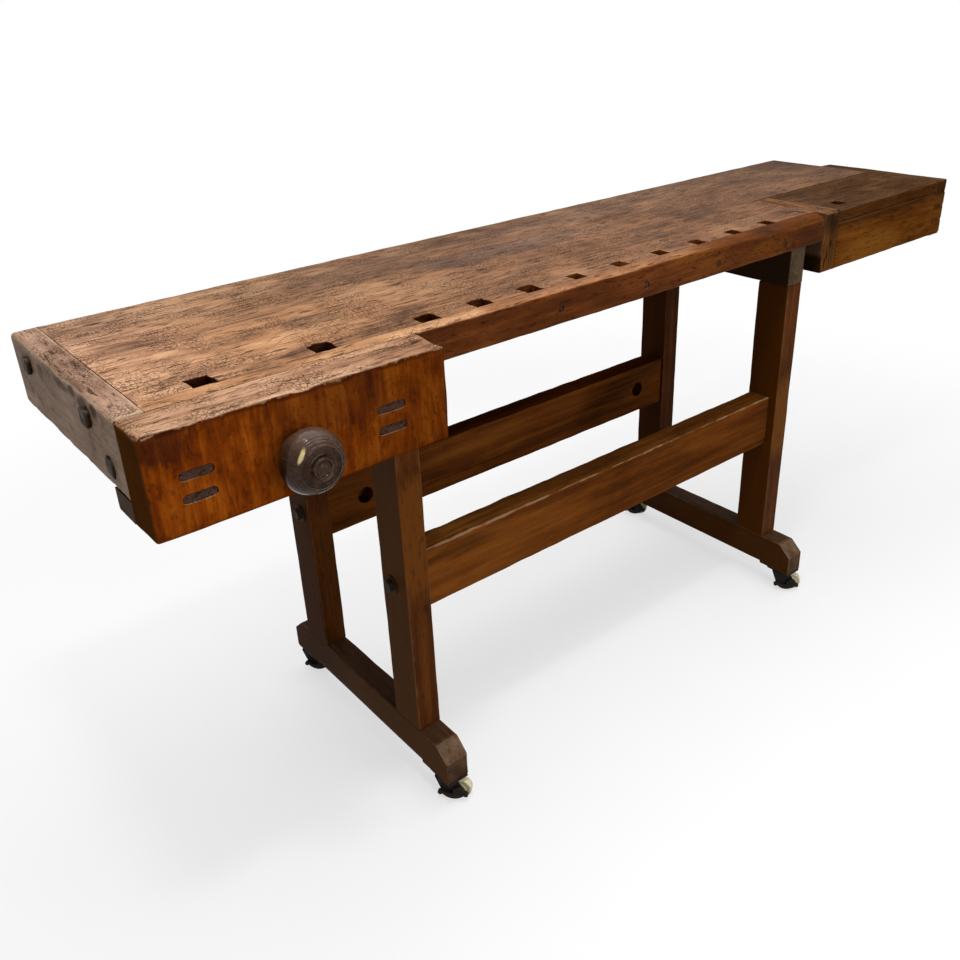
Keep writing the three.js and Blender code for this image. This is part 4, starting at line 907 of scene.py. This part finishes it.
# Guide bars with their round-ended tenons showing in the jaw
guideLook = {"step": 20.0, "round": 1.5, "sway": 0.15}
tenonFront = jawLow.y + tenon["sink"] * mm
tenonFull = tenonFront + tenon["nose"] * mm
for side, (low, high) in zip(sides, guideBoxes):
    bm = wornBlock(bmesh.new(), (low.x, jawHigh.y + 0.5 * mm, low.z), high, guideLook)
    for x, z, w in tenonSpots:
        if low.x < x < high.x:
            full = stadiumOutline(x, z, w, tenon["height"] * mm)
            nose = stadiumOutline(x, z, w - tenon["noseShorter"] * mm,
                                  (tenon["height"] - tenon["noseLower"]) * mm)
            prismInto(bm, full, "y", tenonFull, jawHigh.y + mm)
            prismInto(bm, nose, "y", tenonFront, tenonFull)
    bar = addObject(f"front_guide_{side}_bar", bm)
    dress(bar, tenonWood, "front_jaw", (f"front_guide_{side}",))
print("front jaw and its guides made")


# Hub profile: collar, cove, ball with turned rings that fade outwards, boss with a raised rim
hubShape = {"collar": 28.0, "cove": 25.0, "ball": 44.0, "middle": 37.0, "rear": 36.5, "nose": 33.2,
            "length": 66.0, "shoulder": 29.0, "boss": 15.0, "socket": 10.0, "socketTop": 12.0,
            "groove": 0.13}


def hubProfile():
    s = hubShape
    collar, cove, ball = s["collar"], s["cove"], s["ball"]
    points = [(0, 0), (collar - 2, 0), (collar, 1.2), (collar, 3.2), (collar - 1.2, 4.2), (cove, 5.4)]
    start, finish, count = -math.acos(cove / ball), math.acos(s["shoulder"] / ball), 70
    for i in range(count + 1):
        a = start + (finish - start) * i / count
        r, t = ball * math.cos(a), s["middle"] + (s["rear"] if a < 0 else s["nose"]) * math.sin(a)
        ring = max(0.0, math.cos(a * 2.0 * math.pi / s["groove"])) ** 3
        depth = 0.05 + 0.8 * max(0.0, min(1.0, (a - 0.25) / 0.5))
        points.append((r - depth * ring * math.cos(a), t - depth * ring * math.sin(a)))
    b, end = s["boss"], s["length"]
    for i in range(4):  # shallow steps across the flat front
        r = s["shoulder"] - 1.2 - 2.3 * i
        points += [(r, end - 3.3 + 0.4 * i), (r - 0.9, end - 4.0 + 0.4 * i)]
    boss = ((3.6, 2.2), (2.2, 3.2), (0.8, 3.4), (0.2, 2.2), (-0.6, 0.6), (-2.0, 0.1), (-3.6, 0.5),
            (-4.6, 2.2), (-6.5, 1.8), (-7.5, 2.8))
    points += [(b + wider, end - back) for wider, back in boss]
    return points + [(4.5, end - 2.4), (3.0, end - 1.4), (1.2, end - 1.6), (0, end - 2.6)]


def hubPiece(name, origin, along, material, body, node):
    bm = bmesh.new()
    lathe(bm, hubProfile(), origin, along, 96)
    hub = addObject(name, bm)
    middle = Vector(origin) + Vector(along) * (hubShape["middle"] * mm)
    socket = roundOutline(middle.x, middle.y, hubShape["socket"] * mm, 28)
    carve(hub, cutterOf((socket, "z", middle.z - 0.1, middle.z + hubShape["socketTop"] * mm)))
    return dress(hub, material, body, (node,), 30.0)


tailHubLow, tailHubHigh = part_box("tail_hub")
tailAxis = ((tailHubLow.y + tailHubHigh.y) / 2, tailHubHigh.z - (tailHubHigh.y - tailHubLow.y) / 2)
hubPiece("front_hub_turned", (screwX, hubHigh.y, screwZ), (0, -1, 0), frontHubWood,
         "front_screw", "front_hub")
hubPiece("tail_hub_turned", (tailHubLow.x, *tailAxis), (1, 0, 0), tailHubWood, "tail_screw", "tail_hub")

# Wooden screws: two threads to the inch, necked where the garter key rides
screwShape = {"radius": 21.0, "depth": 4.2, "pitch": 12.7, "neck": 15.0, "neckHalf": 5.8, "spigot": 14.0}


def screwPiece(name, tip, along, threadLength, faceAt, neckAt, total, body, node):
    s = screwShape
    bm = bmesh.new()
    along = Vector(along)
    side = along.orthogonal().normalized()
    other = along.cross(side)
    count, step = 40, s["pitch"] / 10.0
    stations = []
    t = 0.0
    while t < threadLength:
        stations.append((t, None))
        t += step
    shaft, neck, spigot, half = s["radius"], s["neck"], s["spigot"], s["neckHalf"]
    stations += [(threadLength, shaft), (neckAt - half, shaft), (neckAt - half + 0.4, neck),
                 (neckAt + half - 0.4, neck), (neckAt + half, shaft), (faceAt - 0.4, shaft),
                 (faceAt, spigot), (total, spigot)]
    rings = []
    for t, fixed in stations:
        ring = []
        for i in range(count):
            q = 2.0 * math.pi * i / count
            r = fixed
            if fixed is None:
                phase = (t / s["pitch"] + i / count) % 1.0
                crest = min(1.0, max(0.0, abs(phase - 0.5) * 2.6 - 0.15))
                fade = min(1.0, t / 6.0, (threadLength - t) / 10.0)
                r = s["radius"] - s["depth"] * crest * max(0.0, fade) - 2.0 * max(0.0, 1.0 - t / 4.0)
            spoke = side * math.cos(q) + other * math.sin(q)
            ring.append(bm.verts.new(Vector(tip) + along * (t * mm) + spoke * (r * mm)))
        rings.append(ring)
    joinRings(bm, rings)
    dress(addObject(name, bm), screwWood, body, (node,), 50.0)


threadGap = 4.0
frontScrewLow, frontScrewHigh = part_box("front_screw")
root = frontScrewHigh.y
screwPiece("front_screw_threaded", (screwX, root, screwZ), (0, -1, 0), (root - jawHigh.y) / mm - threadGap,
           (root - jawLow.y) / mm, (root - middleOf("front_garter").y) / mm,
           (root - frontScrewLow.y) / mm, "front_screw", "front_screw")
tailScrewLow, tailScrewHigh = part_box("tail_screw")
tailEndLow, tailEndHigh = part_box("tail_end")
root = tailScrewLow.x
screwPiece("tail_screw_threaded", (root, *tailAxis), (1, 0, 0), (tailEndLow.x - root) / mm - threadGap,
           (tailEndHigh.x - root) / mm, (middleOf("tail_garter").x - root) / mm,
           (tailScrewHigh.x - root) / mm, "tail_screw", "tail_screw")
print("hubs and screws turned")

# Tail vise
tailBlock = {"step": 10.0, "round": 1.0, "vary": 0.7, "sway": 0.35, "reach": 9.0, "chip": 3.0,
             "chipScale": 40.0}
tailJawLow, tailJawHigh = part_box("tail_jaw")
railLow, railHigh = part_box("tail_rail")
tailJawLook = {
    **tailBlock, "step": 9.0, "round": 0.4, "vary": 0.4, "sway": 0.3, "chip": 4.0, "chipScale": 60.0,
    "rounds": {"x-y-": 4.0, "x-z-": 4.0, "y-z-": 4.0, "y-z+": (14.0, 11.0), "x+y-": (1.2, 1.5)},
    "chipEdges": ("y-z+", "x+y-", "x-y-"),
}
timber("tail_jaw", tailJawWood, "tail_vise", tailJawLook)
tailDog = [tailJawLow.x + 100.0 * mm]
dogCut = dogCutter(tailDog, plateHigh.z, plateLow.z, plankLow.y, 0.0, dogRow["sharpFrom"])
plateLook = {**tailBlock, "vary": 0.8, "chip": 4.0, "rounds": {"y-z+": (8.0, 6.0), "y-z-": (1.5, 2.5)},
             "chipEdges": ("y-z+", "y-z-")}
timber("tail_plate", tailWood, "tail_vise", plateLook, (dogCut,), None,
       wellShade(tailDog, plateHigh.z, plankLow.y))

# Dovetails run through the end piece, so the rail and the end piece share one outline
dovetail = {"count": 3, "flare": 3.5 * mm, "gap": 0.4 * mm, "tuck": 3.0 * mm}
railRight = slabHigh.x
railHeight = railHigh.z - railLow.z


def tailOutlines(grow, right):
    left, each = railRight - dovetail["tuck"], railHeight / dovetail["count"]
    shapes = []
    for i in range(dovetail["count"]):
        z = railLow.z + each * (i + 0.5)
        root = each / 2 - 2 * dovetail["flare"] + grow
        tip = root + dovetail["flare"]
        shapes.append([(z - root, left), (z + root, left), (z + tip, right), (z - tip, right)])
    return shapes


railLook = {**tailBlock, "rounds": {"y-z-": 4.0, "y-z+": (1.5, 2.5), "x-y-": (1.5, 2.0)},
            "chipEdges": ("y-z+", "y-z-", "x-y-")}
rail = addObject("tail_rail_worn", wornBlock(bmesh.new(), (tailJawHigh.x + fit, railLow.y, railLow.z),
                                             (railRight, railHigh.y, railHigh.z), railLook))
for outline in tailOutlines(0.0, railHigh.x):
    carve(rail, cutterOf((outline, "y", railLow.y + dovetail["gap"], railHigh.y)), "UNION")
dress(rail, tailWood, "tail_vise", ("tail_rail",), reach=9.0)
endCuts = [(outline, "y", railLow.y - overrun, railHigh.y + dovetail["gap"])
           for outline in tailOutlines(dovetail["gap"], railHigh.x + 4.0 * mm)]
through = ("x", tailEndLow.x - overrun, tailEndHigh.x + overrun)
endCuts.append((roundOutline(*tailAxis, boreRadius, 40), *through))
endLook = {
    **tailBlock, "step": 9.0, "round": 1.2, "chipScale": 45.0, "chipEdges": ("x+z+", "y-z+", "x+y-"),
    "rounds": {"x+z+": 5.0, "x+y-": (4.0, 3.0), "y-z+": (6.0, 5.0), "x+y+": 5.0, "y+z+": 5.0,
               "x+z-": 4.0},
}
timber("tail_end", tailCrossWood, "tail_vise", endLook,
       (cutterOf(*endCuts), garterCut("tail_garter")))
print("tail vise joined")

# Trestles
legBlock = {"step": 22.0, "round": 2.0, "vary": 0.6, "sway": 0.35, "reach": 8.0, "chip": 1.5,
            "chipScale": 30.0}
footShape = {"run": 30.0 * mm, "drop": 27.0 * mm, "pad": 74.0 * mm, "lift": 7.0 * mm, "slope": 3.0 * mm}
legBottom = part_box("foot_left")[1].z
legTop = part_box("bearer_left")[0].z


def footShaves(low, high):  # both upper corners, and the hollow between the pads
    run, drop, slope = footShape["run"], footShape["drop"], footShape["slope"]
    front, back = low.y + footShape["pad"], high.y - footShape["pad"]
    under, roof, above = low.z - overrun / 2, low.z + footShape["lift"], high.z + drop
    return (
        [(low.y - run, high.z - 2 * drop), (low.y + 2 * run, above), (low.y - run, above)],
        [(high.y + run, high.z - 2 * drop), (high.y + run, above), (high.y - 2 * run, above)],
        [(front, under), (back, under), (back - slope, roof), (front + slope, roof)],
    )


for side in sides:
    low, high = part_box(f"foot_{side}")
    footBlock = {**legBlock, "step": 12.0, "round": 2.5}
    foot = addObject(f"foot_{side}_worn", wornBlock(bmesh.new(), low, high, footBlock))
    for outline in footShaves(low, high):
        carve(foot, cutterOf((outline, "x", low.x - overrun, high.x + overrun)))
    easeEdges(foot, 1.8, 32.0)
    settle(foot)
    dress(foot, footWood, "bench", (f"foot_{side}",), reach=8.0)
    timber(f"bearer_{side}", bearerWood, "bench", {**legBlock, "step": 18.0})
    for end in ends:
        node = f"leg_{side}_{end}"
        low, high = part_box(node)
        span = (Vector((low.x, low.y, legBottom + fit)), Vector((high.x, high.y, legTop - fit)))
        timber(node, legWood, "bench", legBlock, (), span)
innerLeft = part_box("leg_left_front")[1].x + fit
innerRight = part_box("leg_right_front")[0].x - fit
stretcherRub = {"front": {"x-": 0.02, "x+": 0.02, "y+": 0.1, "z-": 0.05},
                "back": {"x-": 0.02, "x+": 0.02, "y-": 0.2, "z-": 0.05}}
stretcherBlock = {"step": 14.0, "round": 2.5, "rounds": {"y-z+": (4.0, 6.0), "y+z+": (4.0, 5.0)},
                  "vary": 0.9, "sway": 0.5, "reach": 7.0, "chip": 2.5, "chipScale": 24.0,
                  "chipEdges": ("y-z+", "y+z+")}
pocket = {"setback": 83.0 * mm, "radius": 17.0 * mm, "depth": 32.0 * mm}
for end in ends:
    node = f"stretcher_{end}"
    low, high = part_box(node)
    reach = (high.y - pocket["depth"], high.y + overrun)
    if end == "back":
        reach = (low.y - overrun, low.y + pocket["depth"])
    pockets = cutterOf(*[(roundOutline((low.z + high.z) / 2, x, pocket["radius"], 32), "y", *reach)
                         for x in (innerLeft + pocket["setback"], innerRight - pocket["setback"])])
    span = (Vector((innerLeft, low.y, low.z)), Vector((innerRight, high.y, high.z)))
    timber(node, stretcherWood, "bench", {**stretcherBlock, "rubbed": stretcherRub[end]},
           (pockets,), span)

# Stretcher bolts: washer, chamfered head outside the leg, and a square nut down in the pocket
boltShape = {"washer": 17.0, "washerThick": 2.5, "head": 12.0, "headThick": 8.0, "shank": 5.0, "nut": 9.0,
             "nutAt": 74.0, "nutThick": 8.0, "bevel": 1.4, "inset": 1.6, "twist": 0.3}


def chamferedHead(bm, y, z, x0, x1, radius, count):
    step = boltShape["bevel"] * mm * (1 if x1 > x0 else -1)
    for a, b, r in ((x0, x1 - step, radius), (x1 - step, x1, radius - boltShape["inset"])):
        prismInto(bm, roundOutline(y, z, r * mm, count, boltShape["twist"]), "x", min(a, b), max(a, b))


for side in sides:
    out = -1.0 if side == "left" else 1.0
    inner = innerLeft if side == "left" else innerRight
    for end in ends:
        node = f"stretcher_bolt_{side}_{end}"
        low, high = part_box(node)
        y, z = (low.y + high.y) / 2, (low.z + high.z) / 2
        headEnd, tip = (low.x, high.x) if side == "left" else (high.x, low.x)
        w, t = boltShape["washer"], boltShape["washerThick"]
        face = headEnd - out * (t + boltShape["headThick"]) * mm
        bm = bmesh.new()
        lathe(bm, [(0, 0), (w, 0), (w, t - 0.7), (w - 0.9, t), (0, t)], (face, y, z), (out, 0, 0), 40)
        headStart = face + out * t * mm
        headTip = headStart + out * boltShape["headThick"] * mm
        chamferedHead(bm, y, z, headStart, headTip, boltShape["head"], 6)
        prismInto(bm, roundOutline(y, z, boltShape["shank"] * mm, 16), "x", min(face, tip), max(face, tip))
        nutStart = inner - out * boltShape["nutAt"] * mm
        chamferedHead(bm, y, z, nutStart, nutStart - out * boltShape["nutThick"] * mm, boltShape["nut"], 4)
        dress(addObject(node + "_fitted", bm), darkIron, "bench", (node,), 30.0)
print("trestles standing")


def refinish(name, material, width):  # for a piece that keeps its CAD shape
    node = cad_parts[name]
    node.data.materials.clear()
    node.data.materials.append(material)
    easeEdges(node, width)


# Casters: plate and fork as in the CAD, dished wheel, brake lever with a belly and curled ends
casterShape = {"wheel": 21.0, "wheelWidth": 15.0, "hub": 9.0, "trail": 20.0, "turn": -50.0, "axle": 4.4}
leverShape = {"inner": 11.8 * mm, "outer": 17.8 * mm, "curl": 4.5 * mm, "curlShift": 3.0 * mm,
              "bend": 23.0 * mm, "sweep": 1.08, "bar": 5.0 * mm, "drop": 13.0 * mm, "shift": 11.0 * mm,
              "belly": 6.0 * mm, "eye": 11.0 * mm, "curlProud": 0.6 * mm, "eyeProud": 0.4 * mm}


def wheelProfile():
    r, half, hub = casterShape["wheel"], casterShape["wheelWidth"] / 2, casterShape["hub"]
    bore = (casterShape["axle"], -half)
    edge = [bore, (hub, -half), (hub + 0.8, -half + 1.2), (r - 5.0, -half + 1.6), (r - 3.6, -half + 0.4),
            (r - 2.4, -half + 0.2)]
    turns = [math.pi / 2 * i / 5 for i in range(1, 6)]
    lower = edge + [(r - 2.6 + 2.6 * math.sin(q), -half + 2.8 - 2.6 * math.cos(q)) for q in turns]
    return lower + [(a, -b) for a, b in reversed(lower)] + [bore]


def leverOutline(x, z):
    bend, sweep, half = leverShape["bend"], leverShape["sweep"], leverShape["bar"] / 2
    centre = z + bend - leverShape["drop"]
    count = 28
    turns = [-sweep + 2 * sweep * i / count for i in range(count + 1)]
    outer = [(centre - (bend + half) * math.cos(q), x + (bend + half) * math.sin(q)) for q in turns]
    inner = []
    for q in reversed(turns):  # the bar swells into a belly between its ends
        r = bend - half - leverShape["belly"] * math.cos(q * math.pi / 2 / sweep)
        inner.append((centre - r * math.cos(q), x + r * math.sin(q)))
    return outer + inner


def leverPiece(name, pivot, z):  # made square to the bench and then turned with its caster
    s = leverShape
    u = pivot.x + casterShape["trail"] * mm
    near, far = pivot.y - s["outer"], pivot.y - s["inner"]
    middle = u - s["shift"]
    bm = bmesh.new()
    prismInto(bm, leverOutline(middle, z), "y", near, far)
    lever = addObject(name, bm)
    curlZ = z - s["drop"] + s["bend"] * (1.0 - math.cos(s["sweep"])) - s["curlShift"]
    for sign in (-1, 1):
        curlX = middle + sign * (s["bend"] * math.sin(s["sweep"]) + s["curlShift"])
        curl = roundOutline(curlZ, curlX, s["curl"], 20)
        carve(lever, cutterOf((curl, "y", near - s["curlProud"], far)), "UNION")
    carve(lever, cutterOf((roundOutline(z, u, s["eye"], 28), "y", near - s["eyeProud"], far)), "UNION")
    axle = roundOutline(z, u, casterShape["axle"] * mm, 20)
    carve(lever, cutterOf((axle, "y", near - overrun / 2, far + overrun / 2)))
    easeEdges(lever, 0.8)
    settle(lever)
    return lever


turn = math.radians(casterShape["turn"])
for side in sides:
    for end in ends:
        name = f"caster_{side}_{end}"
        centre, pivot = middleOf(name + "_wheel"), middleOf(name + "_plate")
        bm = bmesh.new()
        lathe(bm, wheelProfile(), centre, (-math.sin(turn), math.cos(turn), 0), 56)
        tyre = addObject(name + "_tyre", bm)
        dress(tyre, creamWheel, name + "_wheel", (name + "_wheel",), 50.0)
        lever = leverPiece(name + "_lever", pivot, centre.z)
        toPivot, fromPivot = Matrix.Translation(-pivot), Matrix.Translation(pivot)
        lever.data.transform(fromPivot @ Matrix.Rotation(turn, 4, "Z") @ toPivot)
        dress(lever, casterIron, name + "_brake", (name + "_brake",), 40.0)
        for part in ("_plate", "_fork"):
            refinish(name + part, casterIron, 1.3)
print("casters mounted")

# Pieces that keep their CAD shape
refinish("front_cheek", cheekWood, 1.2)
keptWood = ("front_nut", "front_keeper", "front_garter",
            "tail_nut", "tail_keeper", "tail_garter", "tail_guide")
for name in keptWood:
    refinish(name, bearerWood, 1.2)
print("CAD pieces finished")

# Camera where the photograph was taken
view = {"place": (-1.27578, -1.26191, 1.31238), "turn": (63.2057, 2.3177, -38.7204), "lens": 35.837,
        "shift": (-0.00256, -0.02011)}
cameraData = bpy.data.cameras.new("camera")
cameraData.lens = view["lens"]
cameraData.sensor_width = 36.0
cameraData.shift_x, cameraData.shift_y = view["shift"]
camera = bpy.data.objects.new("camera", cameraData)
camera.location = view["place"]
camera.rotation_euler = [math.radians(v) for v in view["turn"]]
scene.collection.objects.link(camera)
scene.camera = camera

# Soft studio light from above and in front, white surroundings
lamps = {
    "ceiling": {"at": (0.1, 0.1, 3.0), "aim": (0.0, 0.0, 0.8), "size": (3.4, 2.4), "power": 74.0},
    "front": {"at": (-0.3, -3.2, 1.7), "aim": (0.0, 0.0, 0.6), "size": (2.6, 1.8), "power": 42.0},
    "near": {"at": (-0.88, -0.62, 2.6), "aim": (-0.6, -0.1, 0.8), "size": (0.3, 0.16), "power": 12.0},
}
for name, lamp in lamps.items():
    data = bpy.data.lights.new(name, "AREA")
    data.shape = "RECTANGLE"
    data.size, data.size_y = lamp["size"]
    data.energy = lamp["power"]
    made = bpy.data.objects.new(name, data)
    made.location = lamp["at"]
    made.rotation_euler = (Vector(lamp["aim"]) - Vector(lamp["at"])).to_track_quat("-Z", "Y").to_euler()
    scene.collection.objects.link(made)


def shownRays(sheet):  # rays that show the background itself rather than its light
    kinds = ("Camera", "Glossy", "Transmission")
    one, two, three = [sheet.node("ShaderNodeLightPath", {}, {}, f"Is {kind} Ray") for kind in kinds]
    return sheet.math("MINIMUM", one + two + three, 1.0)


world = bpy.data.worlds.new("studio")
scene.world = world
world.use_nodes = True
world.node_tree.nodes.clear()
air = Wire(world.node_tree)
seen = shownRays(air)
studio = {"fill": 0.3, "tile": 9.0}
soft = air.node("ShaderNodeBackground", {}, {"Color": (1, 1, 1, 1), "Strength": studio["fill"]})
white = air.node("ShaderNodeBackground", {}, {"Color": (1, 1, 1, 1), "Strength": 1.0})
mixed = air.node("ShaderNodeMixShader", {}, {0: seen, 1: soft, 2: white})
air.node("ShaderNodeOutputWorld", {}, {"Surface": mixed})

floorMesh = bmesh.new()
bmesh.ops.create_grid(floorMesh, x_segments=8, y_segments=8, size=studio["tile"])
floor = addObject("floor", floorMesh)
floorMaterial, ground = startFinish("pale floor")
paper = ground.place().scaled((3.0, 3.0, 3.0)).cloud(2.0, 0.5)
pale = paper.remap(0.3, 0.7).blend((0.93, 0.93, 0.93, 1), (0.95, 0.95, 0.95, 1))
shown = shownRays(ground)
sheetShader = ground.node("ShaderNodeBsdfDiffuse", {}, {"Color": shown.blend((0.45, 0.45, 0.45, 1), pale)})
whiteShader = ground.node("ShaderNodeEmission", {}, {"Color": (1, 1, 1, 1), "Strength": 1.0})
away = ground.place().length().remap(1.1, 2.3)
fade = shown * (0.6 + away * 0.4)
closeFinish(ground, ground.node("ShaderNodeMixShader", {}, {0: fade, 1: sheetShader, 2: whiteShader}))
floor.data.materials.append(floorMaterial)

scene.view_settings.view_transform = "Standard"
print("camera, light and floor set")
